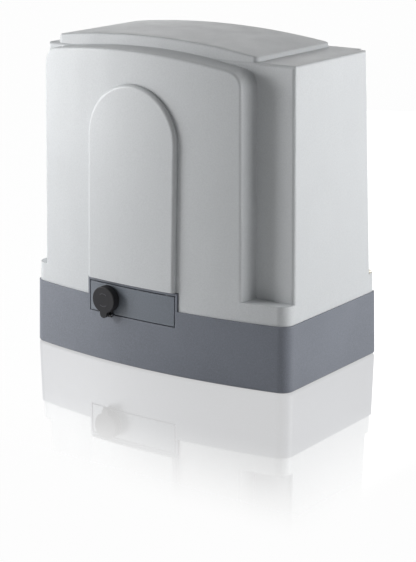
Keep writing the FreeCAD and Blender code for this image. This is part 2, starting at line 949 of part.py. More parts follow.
def front_panel():
    """Arched raised panel that follows the bulge's bowed face, with a rounded rim."""
    beyond = half_width - front_corner_radius

    def skin(grow):
        def outline(z):
            front = bulge_front_y - grow + lean(z)
            return bowed_outline(-beyond, beyond, front, 0, block_radius, block_radius, z)
        return tapered(outline, panel_bottom, deck_z)
    slab = skin(panel_thickness).cut(skin(panel_seat_gap))
    spring_z = panel_apex_z - panel_half
    y = 2 * front_y
    arch = joined([box(panel_x - panel_half, panel_x + panel_half, y, 0, panel_bottom, spring_z),
                   rod_y(panel_half, panel_x, spring_z, y, 0)])
    panel = slab.common(arch)
    rim = []
    for edge in panel.Edges:
        middle = edge.valueAt((edge.FirstParameter + edge.LastParameter) / 2)
        on_front = abs(middle.y + panel_thickness - bulge_front(middle.x, middle.z)) < 0.3
        if on_front and edge.BoundBox.ZMax > panel_bottom + 1 and edge.Length > 1:
            rim.append(edge)
    return panel.makeFillet(panel_edge_radius, rim)


def cam_outline(z):
    """Spiral cam in plan: its gap to the yoke's round nose stays the same as the door turns."""
    start = cam_start_radius + nose_radius + cam_gap
    points = []
    for step in range(cam_steps + 1):
        turn = cam_turn * step / cam_steps
        reach = start + cam_lift_per_radian * turn
        angle = math.pi / 2 - turn
        outward = Vector(math.cos(angle), math.sin(angle), 0)
        sideways = Vector(math.sin(angle), -math.cos(angle), 0)
        normal = (outward * reach - sideways * cam_lift_per_radian).normalize()
        point = outward * reach - normal * (nose_radius + cam_gap)
        points.append(Vector(hinge_x + point.x, hinge_y + point.y, z))
    flank = Part.BSplineCurve()
    flank.interpolate(points)
    centre = Vector(hinge_x, hinge_y, z)
    return Part.Wire([flank.toShape(), Part.LineSegment(points[-1], centre).toShape(),
                      Part.LineSegment(centre, points[0]).toShape()])


def release_door():
    zone = box(door_left, door_right, 2 * front_y, 0, door_bottom, door_top)
    hollow = base_block(door_bottom - 2, door_top + 2, door_thickness)
    plate = base_block(door_bottom - overlap, door_top + overlap).cut(hollow).common(zone)
    barrel = rod_z(hinge_barrel_radius, hinge_x, hinge_y, door_bottom + hinge_barrel_gap,
                   door_top - hinge_barrel_gap)
    seat = rod_y(lock_seat_radius, lock_x, lock_z, lock_seat_y, lock_seat_y + door_thickness + overlap)
    cam = prism(cam_outline(cam_bottom), Vector(0, 0, cam_height))
    rib_y = front_surface_y(0, lock_z) + door_thickness - door_rib_sink
    ribs = [box(door_left + door_rib_end_gap, hinge_x - door_rib_end_gap, rib_y, rib_y + door_rib_depth,
                z, z + door_rib_thickness)
            for z in (door_bottom + door_rib_edge, door_top - door_rib_edge - door_rib_thickness)]
    door = joined([plate, barrel, seat, cam] + ribs)
    door = door.cut(rod_z(hinge_pin_radius + running_gap, hinge_x, hinge_y, 0, above_all))
    return door.cut(rod_y(plug_radius + running_gap, lock_x, lock_z, 2 * front_y, 0))


def door_pin():
    return rod_z(hinge_pin_radius, hinge_x, hinge_y, hinge_pin_low, surround_top)


def lock_bezel():
    ring = tube_y(bezel_radius, plug_radius + running_gap, lock_x, lock_z, lock_seat_y - bezel_depth,
                  lock_seat_y)
    half = cap_tab_width / 2 + cap_ear_gap
    pieces = [ring]
    for side in (-1, 1):
        x0 = lock_x + side * half
        x1 = x0 + side * cap_ear_width
        low, high = sorted((x0, x1))
        ear = rod(cap_knuckle_radius, Vector(low, cap_pin_y, cap_pin_z), Vector(high, cap_pin_y, cap_pin_z))
        web = box(low, high, cap_pin_y, lock_seat_y, cap_pin_z, lock_z - bezel_radius + 2 * overlap)
        pieces += [ear, web]
    bezel = joined(pieces)
    far = cap_tab_width
    hole = rod(cap_pin_radius + fit_gap, Vector(lock_x - far, cap_pin_y, cap_pin_z),
               Vector(lock_x + far, cap_pin_y, cap_pin_z))
    return bezel.cut(hole)


def cap_pin():
    half = cap_tab_width / 2 + cap_ear_gap + cap_ear_width
    return rod(cap_pin_radius, Vector(lock_x - half, cap_pin_y, cap_pin_z),
               Vector(lock_x + half, cap_pin_y, cap_pin_z))


def lock_cap():
    rear = lock_seat_y - cap_gap
    front = rear - cap_depth
    shell = rod_y(cap_radius, lock_x, lock_z, front, rear)
    front_rim = [edge for edge in shell.Edges if edge.BoundBox.YMax < front + 1e-3]
    shell = shell.makeFillet(cap_edge_radius, front_rim)
    shell = shell.cut(rod_y(cap_radius - cap_wall, lock_x, lock_z, front + cap_face, rear + overlap))
    half = cap_tab_width / 2
    knuckle = rod(cap_knuckle_radius, Vector(lock_x - half, cap_pin_y, cap_pin_z),
                  Vector(lock_x + half, cap_pin_y, cap_pin_z))
    strap = box(lock_x - half, lock_x + half, cap_pin_y - cap_knuckle_radius, cap_pin_y + cap_strap_back,
                cap_pin_z, lock_z - cap_radius + cap_wall - cap_strap_lap)
    notches = []
    for side in (-1, 1):
        x0, x1 = sorted((lock_x + side * (half + cap_notch_gap),
                         lock_x + side * (half + cap_notch_margin + cap_ear_width)))
        notches.append(box(x0, x1, cap_pin_y - cap_knuckle_radius - cap_notch_front, rear + overlap, 0,
                           lock_z - cap_radius + cap_wall + cap_notch_rise))
    pull_z = lock_z - cap_radius - cap_pull_drop + cap_pull_radius
    pull_rear = front + cap_pull_thickness
    pull = [rod_y(cap_pull_radius, lock_x, pull_z, front, pull_rear),
            box(lock_x - cap_pull_radius, lock_x + cap_pull_radius, front, pull_rear, pull_z,
                lock_z - cap_radius + 2 * overlap)]
    cap = joined([shell.cut(Part.makeCompound(notches)), knuckle, strap] + pull)
    hole = rod(cap_pin_radius + running_gap, Vector(lock_x - 2 * half, cap_pin_y, cap_pin_z),
               Vector(lock_x + 2 * half, cap_pin_y, cap_pin_z))
    return cap.cut(hole)


def lock_plug():
    front = lock_seat_y - bezel_depth - plug_proud
    plug = rod_y(plug_radius, lock_x, lock_z, front, front + plug_length)
    slot = box(lock_x - key_slot_half, lock_x + key_slot_half, front - overlap, front + key_slot_depth,
               lock_z - key_slot_reach, lock_z + key_slot_reach)
    return plug.cut(slot)


def lock_tongue():
    """Tongue behind the door, at rest along the door and clear of the wall."""
    y0 = lock_seat_y - bezel_depth - plug_proud + plug_length
    half = tongue_width / 2
    bar = box(lock_x, lock_x + tongue_length, y0, y0 + tongue_thickness, lock_z - half, lock_z + half)
    eye = rod_y(plug_radius, lock_x, lock_z, y0, y0 + tongue_thickness)
    return joined([bar, eye])


def release_yoke():
    """Cranked bar from the cam of the door to the pin in the output shaft."""
    nose_y = hinge_y + cam_start_radius + nose_radius + cam_gap
    top = cam_bottom + cam_height
    half = yoke_bar_width / 2
    cross_rear = yoke_cross_y + yoke_thickness
    taper_y = nose_y + yoke_nose_length
    bar_y = taper_y + yoke_nose_taper
    riser_left = drive_x - yoke_riser_half
    plan = polygon([
        Vector(hinge_x - nose_radius, nose_y, cam_bottom),
        Vector(hinge_x + nose_radius, nose_y, cam_bottom),
        Vector(hinge_x + nose_radius, taper_y, cam_bottom),
        Vector(hinge_x + half, bar_y, cam_bottom),
        Vector(hinge_x + half, cross_rear, cam_bottom),
        Vector(riser_left, cross_rear, cam_bottom),
        Vector(riser_left, yoke_cross_y, cam_bottom),
        Vector(hinge_x - half, yoke_cross_y, cam_bottom),
        Vector(hinge_x - half, bar_y, cam_bottom),
        Vector(hinge_x - nose_radius, taper_y, cam_bottom),
    ])
    nose = rod_z(nose_radius, hinge_x, nose_y, cam_bottom, top)
    riser = box(riser_left, drive_x + yoke_riser_half, yoke_cross_y, cross_rear, cam_bottom, drive_z)
    eye = rod_y(yoke_riser_half, drive_x, drive_z, yoke_cross_y, cross_rear)
    yoke = joined([prism(plan, Vector(0, 0, cam_height)), nose, riser, eye])
    pin_hole = rod_y(release_pin_radius + fit_gap, drive_x, drive_z, yoke_cross_y - overlap,
                     cross_rear + overlap)
    return yoke.cut(pin_hole)


def release_pin():
    return rod_y(release_pin_radius, drive_x, drive_z, yoke_cross_y, yoke_cross_y + release_pin_length)


def helix_wire(radius, pitch, height, base_point, axis):
    wire = Part.makeHelix(pitch, height, radius)
    wire.Placement = FreeCAD.Placement(base_point, FreeCAD.Rotation(Vector(0, 0, 1), axis))
    return wire


def release_spring():
    start = Vector(drive_x, yoke_cross_y + yoke_thickness + spring_wire + spring_end_gap, drive_z)
    coil = helix_wire(spring_radius, spring_pitch, spring_turns * spring_pitch, start, Vector(0, 1, 0))
    first = coil.Edges[0]
    point = first.valueAt(first.FirstParameter)
    heading = first.tangentAt(first.FirstParameter)
    ring = Part.Wire(Part.makeCircle(spring_wire, point, heading))
    return Part.Wire(coil.Edges).makePipeShell([ring], True, True)


def gear_room_radius():
    return wheel_tip_radius + gear_room


def tower_inner():
    return worm_bearing_outer + fit_gap


def gearbox_housing():
    outer = gear_room_radius() + gearbox_wall
    body = rod_y(outer, drive_x, drive_z, gearbox_front, gearbox_rear)
    tower_bottom = worm_bearing_low - tower_wall
    tower = rod_z(tower_inner() + tower_wall, worm_x, mesh_y, tower_bottom, tower_top)
    flange = rod_z(motor_flange_radius, worm_x, mesh_y, tower_top - motor_flange, tower_top)
    foot_half = gearbox_foot_width / 2
    foot = box(gearbox_foot_left, gearbox_foot_right, mesh_y - foot_half, mesh_y + foot_half,
               base_floor, base_floor + gearbox_foot_height)
    webs = []
    reach = foot_half - gearbox_web_inset
    for x in (gearbox_foot_left + gearbox_web_end_gap, drive_x, worm_x):
        webs.append(box(x - gearbox_web_half, x + gearbox_web_half, mesh_y - reach, mesh_y + reach,
                        base_floor, drive_z - gearbox_web_below_shaft))
    nose = rod_y(shaft_radius + gearbox_nose_wall, drive_x, drive_z, gearbox_rear - overlap,
                 gearbox_rear + gearbox_nose_length)
    casting = joined([body, tower, flange, foot, nose] + webs)
    room = rod_y(gear_room_radius(), drive_x, drive_z, gearbox_front - overlap, gearbox_rear - gearbox_wall)
    shaft_way = rod_y(shaft_collar_radius + shaft_way_gap, drive_x, drive_z, gearbox_front,
                      gearbox_rear + 2 * gearbox_nose_length)
    worm_way = rod_z(tower_inner(), worm_x, mesh_y, worm_bearing_low, tower_top + overlap)
    casting = casting.cut(Part.makeCompound([room, shaft_way, worm_way]))
    for x, z in lid_screw_places():
        casting = casting.cut(rod_y(lid_screw_radius + fit_gap, x, z, gearbox_front - overlap,
                                    gearbox_front + lid_screw_hole_depth))
    return casting


def lid_screw_places():
    """Screws on the rim, clear of the worm's tower."""
    circle = gear_room_radius() + gearbox_wall / 2
    for index in range(lid_screw_count):
        angle = lid_screw_start + lid_screw_span * index / (lid_screw_count - 1)
        yield drive_x + circle * math.cos(angle), drive_z + circle * math.sin(angle)


def gearbox_cover():
    outer = gear_room_radius() + gearbox_wall
    y0 = gearbox_front - gearbox_lid
    plate = rod_y(outer, drive_x, drive_z, y0, gearbox_front)
    boss_outer = shaft_bearing_outer + boss_wall
    bearing_front = gearbox_front - lid_bearing_lip
    boss = rod_y(boss_outer, drive_x, drive_z, bearing_front - lid_boss_reach,
                 bearing_front + shaft_bearing_width)
    ribs = []
    for index in range(lid_screw_count):
        angle = math.degrees(math.pi / lid_screw_count) + 360 * index / lid_screw_count
        rib = box(0, outer - lid_rib_end_gap, y0 - lid_rib_height, y0 + overlap,
                  -lid_rib_half, lid_rib_half)
        rib.rotate(Vector(0, 0, 0), Vector(0, 1, 0), angle)
        rib.translate(Vector(drive_x, 0, drive_z))
        ribs.append(rib)
    lid = joined([plate, boss] + ribs)
    seat = rod_y(shaft_bearing_outer + fit_gap, drive_x, drive_z, bearing_front, gearbox_rear)
    way = rod_y(spring_radius + spring_wire + lid_way_gap, drive_x, drive_z,
                bearing_front - 2 * lid_boss_reach, bearing_front + overlap)
    tower_room = rod_z(tower_inner() + tower_wall + seat_gap, worm_x, mesh_y, 0, above_all)
    flange_room = rod_z(motor_flange_radius + seat_gap, worm_x, mesh_y, tower_top - motor_flange - seat_gap,
                        above_all)
    lid = lid.cut(Part.makeCompound([seat, way, tower_room, flange_room]))
    for x, z in lid_screw_places():
        lid = lid.cut(rod_y(lid_screw_radius + screw_gap, x, z, y0 - overlap, gearbox_front + overlap))
    return lid


def gearbox_screws():
    y0 = gearbox_front - gearbox_lid
    screws = []
    for x, z in lid_screw_places():
        head = rod_y(screw_head_share * lid_screw_radius, x, z, y0 - lid_screw_head, y0)
        socket_start = y0 - lid_screw_head - overlap
        socket_floor = y0 - lid_screw_head + lid_screw_socket
        head = head.cut(rod_y(screw_socket_share * lid_screw_radius, x, z, socket_start, socket_floor))
        screws.append(head.fuse(rod_y(lid_screw_radius, x, z, y0, gearbox_front + lid_screw_depth)))
    return Part.makeCompound(screws)


def bearing(inner, outer, width, start, axis):
    """Shielded ball bearing as one ring with its two shield grooves."""
    groove_in = inner + bearing_groove_in * (outer - inner)
    groove_out = inner + bearing_groove_out * (outer - inner)
    depth = bearing_groove_depth
    side = Vector(0, 1, 0) if abs(axis.z) > 0.5 else Vector(0, 0, 1)
    profile = [(inner, 0), (groove_in, 0), (groove_in, depth), (groove_out, depth), (groove_out, 0),
               (outer, 0), (outer, width), (groove_out, width), (groove_out, width - depth),
               (groove_in, width - depth), (groove_in, width), (inner, width)]
    wire = polygon([start + side * r + axis * along for r, along in profile])
    return Part.Face(wire).revolve(start, axis, 360)


def shaft_bearings():
    ring = shaft_radius + running_gap
    y_axis = Vector(0, 1, 0)
    rings = [bearing(ring, shaft_bearing_outer, shaft_bearing_width, Vector(drive_x, y, drive_z), y_axis)
             for y in (gearbox_front - lid_bearing_lip, rear_bearing_y)]
    return Part.makeCompound(rings)


def oil_seal():
    y0 = rear_bearing_y + shaft_bearing_width + seal_gap
    ring = tube_y(shaft_bearing_outer, shaft_radius + seal_inner_gap, drive_x, drive_z, y0, y0 + seal_width)
    lip = tube_y(shaft_radius + seal_lip_outer_gap, shaft_radius + running_gap, drive_x, drive_z,
                 y0 + seal_lip_front, y0 + seal_lip_rear)
    return joined([ring, lip])


def output_shaft():
    shaft = rod_y(shaft_radius, drive_x, drive_z, shaft_front, shaft_end)
    collar_start = mesh_y + wheel_width / 2 + shaft_collar_gap
    collar = rod_y(shaft_collar_radius, drive_x, drive_z, collar_start, rear_bearing_y - seat_gap)
    shaft = joined([shaft, collar])
    bore = rod_y(release_pin_radius + running_gap, drive_x, drive_z, shaft_front - overlap,
                 shaft_front + shaft_bore_depth)
    tapped = rod_y(shaft_thread_radius, drive_x, drive_z, shaft_end - shaft_thread_depth, shaft_end + overlap)
    return shaft.cut(Part.makeCompound([bore, tapped, key_way(0)]))


def key_way(gap):
    """Room for the key between shaft and pinion."""
    y0 = pinion_front + (pinion_width - key_length) / 2
    half = key_width / 2 + gap
    z0 = drive_z + shaft_radius - key_height / 2
    return box(drive_x - half, drive_x + half, y0 - gap, y0 + key_length + gap, z0 - gap,
               z0 + key_height + gap)


def pinion_key():
    return key_way(-fit_gap)


def involute_flank(base_radius, tip_radius, root_radius, count):
    """Points of an involute flank as radius and polar angle, from the root outwards."""
    start = max(base_radius, root_radius)
    for index in range(count):
        radius = start + (tip_radius - start) * index / (count - 1)
        cosine = min(base_radius / radius, 1.0)
        roll = math.acos(cosine)
        yield radius, math.tan(roll) - roll


def gear_outline(module, teeth, tip_radius, root_radius, thinning, turn, y):
    """Closed outline of an involute gear in the XZ plane, about the drive line, one tooth at angle zero."""
    pitch_radius = module * teeth / 2
    base_radius = pitch_radius * math.cos(pressure_angle)
    pitch_involute = math.tan(pressure_angle) - pressure_angle
    half_tooth = (math.pi * module / 2 - thinning) / 2 / pitch_radius
    samples = list(involute_flank(base_radius, tip_radius, root_radius, flank_points))

    def at(radius, angle):
        return Vector(drive_x + radius * math.cos(angle), y, drive_z + radius * math.sin(angle))

    edges = []
    step = 2 * math.pi / teeth
    for tooth in range(teeth):
        middle = tooth * step + turn
        rising = [at(r, middle - half_tooth - pitch_involute + inv) for r, inv in samples]
        falling = [at(r, middle + half_tooth + pitch_involute - inv) for r, inv in reversed(samples)]
        next_start = at(samples[0][0], middle + step - half_tooth - pitch_involute)
        foot_angle = half_tooth + pitch_involute
        foot_a = at(root_radius, middle + foot_angle)
        foot_b = at(root_radius, middle + step - foot_angle)
        root_mid = at(root_radius, middle + step / 2)
        for run in (rising, falling):
            flank = Part.BSplineCurve()
            flank.interpolate(run)
            edges.append(flank.toShape())
            if run is rising:
                edges.append(Part.LineSegment(rising[-1], falling[0]).toShape())
        if foot_a.distanceToPoint(falling[-1]) > 1e-4:
            edges.append(Part.LineSegment(falling[-1], foot_a).toShape())
        edges.append(Part.Arc(foot_a, root_mid, foot_b).toShape())
        if foot_b.distanceToPoint(next_start) > 1e-4:
            edges.append(Part.LineSegment(foot_b, next_start).toShape())
    return Part.Wire(edges)


def worm_wheel():
    """Wheel whose skewed teeth follow the lead of the worm."""
    root_radius = wheel_pitch_radius - tooth_dedendum * worm_module
    lead_angle = math.atan(worm_module / (2 * worm_pitch_radius))
    half = wheel_width / 2
    skew = half * math.tan(lead_angle) / wheel_pitch_radius
    phase = math.pi / wheel_teeth
    wires = [gear_outline(worm_module, wheel_teeth, wheel_tip_radius, root_radius, mesh_backlash / 2,
                          phase - side * skew, mesh_y + side * half) for side in (-1, 1)]
    rim = Part.makeLoft(wires, True, True)
    hub_radius = shaft_radius + wheel_hub_wall
    for side in (-1, 1):
        y0, y1 = sorted((mesh_y + side * (half + overlap), mesh_y + side * wheel_web_half))
        recess = tube_y(root_radius - wheel_rim_wall, hub_radius + wheel_web_gap, drive_x, drive_z, y0, y1)
        rim = rim.cut(recess)
    hub = rod_y(hub_radius, drive_x, drive_z, mesh_y - half - wheel_hub_front, mesh_y + half + wheel_hub_rear)
    wheel = joined([rim, hub])
    return wheel.cut(rod_y(shaft_radius + fit_gap, drive_x, drive_z, 0, rear_y))


def worm():
    """Single start worm on the motor's shaft."""
    half_pitch_tooth = worm_pitch / 4 - mesh_backlash / 4
    slope = math.tan(pressure_angle)
    tip = worm_pitch_radius + worm_module - tooth_tip_relief
    root = worm_root_radius - worm_core_overlap
    tip_half = half_pitch_tooth - slope * (tip - worm_pitch_radius)
    root_half = half_pitch_tooth + slope * (worm_pitch_radius - root)
    z0 = drive_z - worm_length / 2
    coil = Part.makeHelix(worm_pitch, worm_length, worm_pitch_radius)
    coil.Placement = FreeCAD.Placement(Vector(worm_x, mesh_y, z0), FreeCAD.Rotation())
    ridge = polygon([
        Vector(worm_x + root, mesh_y, z0 - root_half),
        Vector(worm_x + tip, mesh_y, z0 - tip_half),
        Vector(worm_x + tip, mesh_y, z0 + tip_half),
        Vector(worm_x + root, mesh_y, z0 + root_half),
    ])
    thread = Part.Wire(coil.Edges).makePipeShell([ridge], True, True)
    core = rod_z(worm_root_radius, worm_x, mesh_y, z0 - worm_shoulder + seat_gap,
                 z0 + worm_length + worm_shoulder)
    shaft = rod_z(rotor_shaft_radius, worm_x, mesh_y, worm_bearing_low, motor_top + rotor_shaft_proud)
    return joined([core, shaft, thread])


def rotor_core():
    middle = motor_base + motor_case_height / 2
    half = motor_stack_height / 2
    core = tube_z(rotor_radius, rotor_shaft_radius + fit_gap, worm_x, mesh_y, middle - half, middle + half)
    rings = [tube_z(rotor_radius - rotor_ring_outer_gap, rotor_radius - rotor_ring_inner_gap, worm_x, mesh_y,
                    low, low + rotor_ring_height)
             for low in (middle - half - rotor_ring_proud, middle + half - overlap)]
    return joined([core] + rings)


def worm_bearings():
    ring = rotor_shaft_radius + running_gap
    z_axis = Vector(0, 0, 1)
    places = [
        (worm_bearing_outer, worm_bearing_width, worm_bearing_low),
        (worm_bearing_outer, worm_bearing_width, tower_top - worm_bearing_width - worm_bearing_setback),
        (top_bearing_outer, top_bearing_width, motor_top + top_bearing_gap),
    ]
    rings = [bearing(ring, outer, width, Vector(worm_x, mesh_y, z), z_axis) for outer, width, z in places]
    return Part.makeCompound(rings)


def motor_stator():
    middle = motor_base + motor_case_height / 2
    half = motor_stack_height / 2
    outer = motor_radius - motor_case_wall - fit_gap
    inner = rotor_radius + motor_air_gap
    stack = tube_z(outer, inner, worm_x, mesh_y, middle - half, middle + half)
    slots = []
    for index in range(stator_slot_count):
        angle = 360.0 * index / stator_slot_count
        slot = box(inner - overlap, outer - stator_slot_wall, -stator_slot_half, stator_slot_half,
                   middle - half - overlap, middle + half + overlap)
        slot.rotate(Vector(0, 0, 0), Vector(0, 0, 1), angle)
        slot.translate(Vector(worm_x, mesh_y, 0))
        slots.append(slot)
    return stack.cut(Part.makeCompound(slots))


def motor_windings():
    middle = motor_base + motor_case_height / 2
    half = motor_stack_height / 2
    rings = []
    for low in (middle - half - winding_gap - winding_height, middle + half + winding_gap):
        ring = tube_z(rotor_radius + winding_outer_gap, rotor_radius + winding_inner_gap, worm_x, mesh_y,
                      low, low + winding_height)
        rings.append(ring.makeFillet(winding_radius, ring.Edges))
    return Part.makeCompound(rings)


def motor_case():
    return tube_z(motor_radius, motor_radius - motor_case_wall, worm_x, mesh_y, motor_base, motor_top)


def motor_ear_places():
    for index in range(motor_bolt_count):
        angle = math.radians(45 + 360 * index / motor_bolt_count)
        yield worm_x + motor_bolt_circle * math.cos(angle), mesh_y + motor_bolt_circle * math.sin(angle)


def motor_bell(z0, z1, hollow0, hollow1, bore, bore0, bore1):
    """End bell with ears, a hollow for the windings and a bearing seat."""
    pieces = [rod_z(motor_radius, worm_x, mesh_y, z0, z1)]
    for x, y in motor_ear_places():
        pieces.append(rod_z(motor_ear_radius, x, y, z0, z1))
    bell = joined(pieces)
    hollow = tube_z(motor_radius - motor_case_wall, top_bearing_outer + bell_bearing_wall, worm_x, mesh_y,
                    hollow0, hollow1)
    shaft_way = rod_z(rotor_shaft_radius + bell_shaft_gap, worm_x, mesh_y, z0 - overlap, z1 - bell_top_wall)
    cuts = [hollow, rod_z(bore, worm_x, mesh_y, bore0, bore1), shaft_way]
    for x, y in motor_ear_places():
        cuts.append(rod_z(motor_bolt_radius + screw_gap, x, y, z0 - overlap, z1 + overlap))
    return bell.cut(Part.makeCompound(cuts))


def motor_lower_bell():
    return motor_bell(tower_top, motor_base, tower_top + bell_floor, motor_base + overlap,
                      rotor_shaft_radius + bell_shaft_gap, tower_top - overlap, motor_base + overlap)


def motor_upper_bell():
    seat_top = motor_top + top_bearing_gap + top_bearing_width
    return motor_bell(motor_top, motor_top + bell_height, motor_top - overlap, motor_top + bell_hollow_depth,
                      top_bearing_outer + fit_gap, motor_top - overlap, seat_top)


def motor_bolts():
    bolts = []
    top = motor_top + bell_height
    for x, y in motor_ear_places():
        stem = rod_z(motor_bolt_radius, x, y, tower_top, top)
        bolts.append(stem.fuse(rod_z(screw_head_share * motor_bolt_radius, x, y, top, top + motor_bolt_head)))
    return Part.makeCompound(bolts)


def board_tray():
    back = board_y + board_thickness + board_standoff
    left = board_left - tray_margin
    right = board_right + tray_margin
    low = board_bottom - tray_margin
    high = board_top + tray_margin
    panel = box(left, right, back - tray_rim, back + tray_thickness, low, high)
    wall = tray_rim_wall
    room = box(left + wall, right - wall, back - tray_rim - overlap, back, low + wall, high - wall)
    panel = panel.cut(room)
    legs = []
    for x in (left + tray_leg_inset, right - tray_leg_inset - tray_leg_width):
        foot_rear = back + tray_foot_length
        legs.append(box(x, x + tray_leg_width, back, back + tray_thickness, base_floor, low + tray_leg_lap))
        legs.append(box(x, x + tray_leg_width, back, foot_rear, base_floor, base_floor + tray_foot_height))
        gusset_x = x + tray_leg_width / 2 - tray_gusset_half
        gusset = polygon([Vector(gusset_x, back, base_floor), Vector(gusset_x, foot_rear, base_floor),
                          Vector(gusset_x, back, base_floor + tray_gusset_height)])
        legs.append(prism(gusset, Vector(2 * tray_gusset_half, 0, 0)))
    posts = []
    holes = []
    for x, z in board_hole_places():
        posts.append(rod_y(board_post_radius, x, z, back - board_standoff, back + overlap))
        holes.append(rod_y(board_post_hole_radius, x, z, back - board_post_hole_depth, back + 2 * overlap))
    tray = joined([panel] + legs + posts)
    return tray.cut(Part.makeCompound(holes))


def board_hole_places():
    for x in (board_left + board_hole_inset, board_right - board_hole_inset):
        for z in (board_bottom + board_hole_inset, board_top - board_hole_inset):
            yield x, z


def control_board():
    board = box(board_left, board_right, board_y, board_y + board_thickness, board_bottom, board_top)
    holes = [rod_y(board_hole_radius, x, z, board_y - overlap, board_y + board_thickness + overlap)
             for x, z in board_hole_places()]
    return board.cut(Part.makeCompound(holes))


def board_screws():
    screws = []
    for x, z in board_hole_places():
        head = rod_y(board_screw_head_radius, x, z, board_y - board_screw_head, board_y)
        screws.append(head.fuse(rod_y(board_screw_radius, x, z, board_y, board_y + board_screw_length)))
    return Part.makeCompound(screws)


def terminal_blocks():
    """Row of plug-in terminals along the board's lower edge."""
    blocks = []
    front_y_of_block = board_y - terminal_depth
    z0 = board_bottom + terminal_lift
    for index in range(terminal_count):
        x0 = board_left + terminal_inset + index * terminal_pitch
        profile = polygon([
            Vector(x0, board_y, z0),
            Vector(x0, board_y - terminal_chin, z0),
            Vector(x0, front_y_of_block, z0 + terminal_step_low),
            Vector(x0, front_y_of_block, z0 + terminal_step_high),
            Vector(x0, board_y - terminal_back, z0 + terminal_height),
            Vector(x0, board_y, z0 + terminal_height),
        ])
        block = prism(profile, Vector(terminal_width, 0, 0))
        holes = []
        for way in range(terminal_ways):
            x = x0 + terminal_width * (way + 0.5) / terminal_ways
            holes.append(box(x - terminal_hole_half, x + terminal_hole_half, front_y_of_block - overlap,
                             board_y - terminal_hole_depth, z0 + terminal_hole_low, z0 + terminal_hole_high))
        blocks.append(block.cut(Part.makeCompound(holes)))
    return Part.makeCompound(blocks)


def board_relays():
    relays = []
    for index in range(relay_count):
        x0 = board_left + terminal_inset + index * relay_pitch
        z0 = board_bottom + relay_lift
        relay = box(x0, x0 + relay_width, board_y - relay_depth, board_y, z0, z0 + relay_height)
        face = [edge for edge in relay.Edges if edge.BoundBox.YMax < board_y - relay_depth + 1]
        relays.append(relay.makeChamfer(relay_edge, face))
    return Part.makeCompound(relays)


def fuse_holder():
    x0 = board_right - fuse_inset
    x1 = x0 + fuse_length
    z0 = board_bottom + fuse_lift
    z1 = z0 + fuse_base_height
    base = box(x0, x1, board_y - fuse_base_depth, board_y, z0, z1)
    axis_y = board_y - fuse_reach
    axis_z = (z0 + z1) / 2
    glass = rod(fuse_radius, Vector(x0 + fuse_end_gap, axis_y, axis_z),
                Vector(x1 - fuse_end_gap, axis_y, axis_z))
    edge = fuse_clip_edge
    clips = [box(x, x + fuse_clip_width, board_y - fuse_clip_depth, board_y - fuse_clip_sink,
                 z0 + edge, z1 - edge)
             for x in (x0 + edge, x1 - edge - fuse_clip_width)]
    return joined([base, glass] + clips)


def hexagon(corner_radius):
    """Corners of a hexagon about the origin of its own plane."""
    for corner in range(6):
        angle = math.pi * corner / 3
        yield corner_radius * math.cos(angle), corner_radius * math.sin(angle)


def transformer():
    """Ring transformer lying on the floor of the base."""
    low = base_floor + transformer_pad
    ring = tube_z(transformer_radius, transformer_hole, transformer_x, 0, low, low + transformer_height)
    outer_edges = [edge for edge in ring.Edges if edge.BoundBox.XLength > 2 * transformer_hole + 1]
    return ring.makeFillet(transformer_edge_radius, outer_edges)


def transformer_clamp():
    low = base_floor + transformer_pad + transformer_height
    dish = Part.makeCone(transformer_radius - clamp_dish_gap, transformer_radius - clamp_dish_top_gap,
                         clamp_dish_height, Vector(transformer_x, 0, low))
    stud = rod_z(clamp_stud_radius, transformer_x, 0, base_floor, low + clamp_stud_proud)
    pad = rod_z(transformer_radius - transformer_pad_gap, transformer_x, 0, base_floor,
                base_floor + transformer_pad)
    corners = [Vector(transformer_x + across, along, low + clamp_dish_height)
               for across, along in hexagon(clamp_nut_corner)]
    nut = prism(polygon(corners), Vector(0, 0, clamp_nut_height))
    return joined([dish, stud, pad, nut])


def run_capacitor():
    low = base_floor + capacitor_lift
    top = low + capacitor_height
    can = rod_z(capacitor_radius, capacitor_x, capacitor_y, low, top)
    can = can.makeFillet(capacitor_edge_radius, [edge for edge in can.Edges if edge.BoundBox.ZLength < 1e-3])
    blades = []
    for side in (-1, 1):
        x = capacitor_x + side * capacitor_blade_place
        blades.append(box(x - capacitor_blade_half_thickness, x + capacitor_blade_half_thickness,
                          capacitor_y - capacitor_blade_half_width, capacitor_y + capacitor_blade_half_width,
                          top - overlap, top + capacitor_blade_height))
    return joined([can] + blades)


def capacitor_clip():
    low = base_floor
    floor = low + capacitor_lift
    top = low + clip_height
    cup = rod_z(capacitor_radius + clip_wall, capacitor_x, capacitor_y, low, top)
    cup = cup.cut(rod_z(capacitor_radius + seat_gap / 2, capacitor_x, capacitor_y, floor, top + overlap))
    foot = box(capacitor_x - clip_foot_reach, capacitor_x + clip_foot_reach, capacitor_y - clip_foot_half,
               capacitor_y + clip_foot_half, low, floor)
    split = box(capacitor_x - clip_split_half, capacitor_x + clip_split_half,
                capacitor_y - 2 * capacitor_radius, capacitor_y, floor, top + overlap)
    return joined([cup, foot]).cut(split)


def limit_switch_body():
    """Box on the inside of the rear arch that holds the lever's pivot."""
    y1 = arch_rear - arch_thickness
    y0 = switch_y - switch_reach
    half_z = switch_height / 2
    shell = box(drive_x - switch_half, drive_x + switch_half, y0, y1, switch_z - half_z, switch_z + half_z)
    room_half = switch_half - switch_wall
    room_half_z = half_z - switch_wall
    room = box(drive_x - room_half, drive_x + room_half, y0 + switch_wall, y1 + overlap,
               switch_z - room_half_z, switch_z + room_half_z)
    shell = shell.cut(room)
    spigot = rod_z(switch_pivot_radius, drive_x, switch_y, switch_z - half_z, switch_z + half_z)
    return joined([shell, spigot])


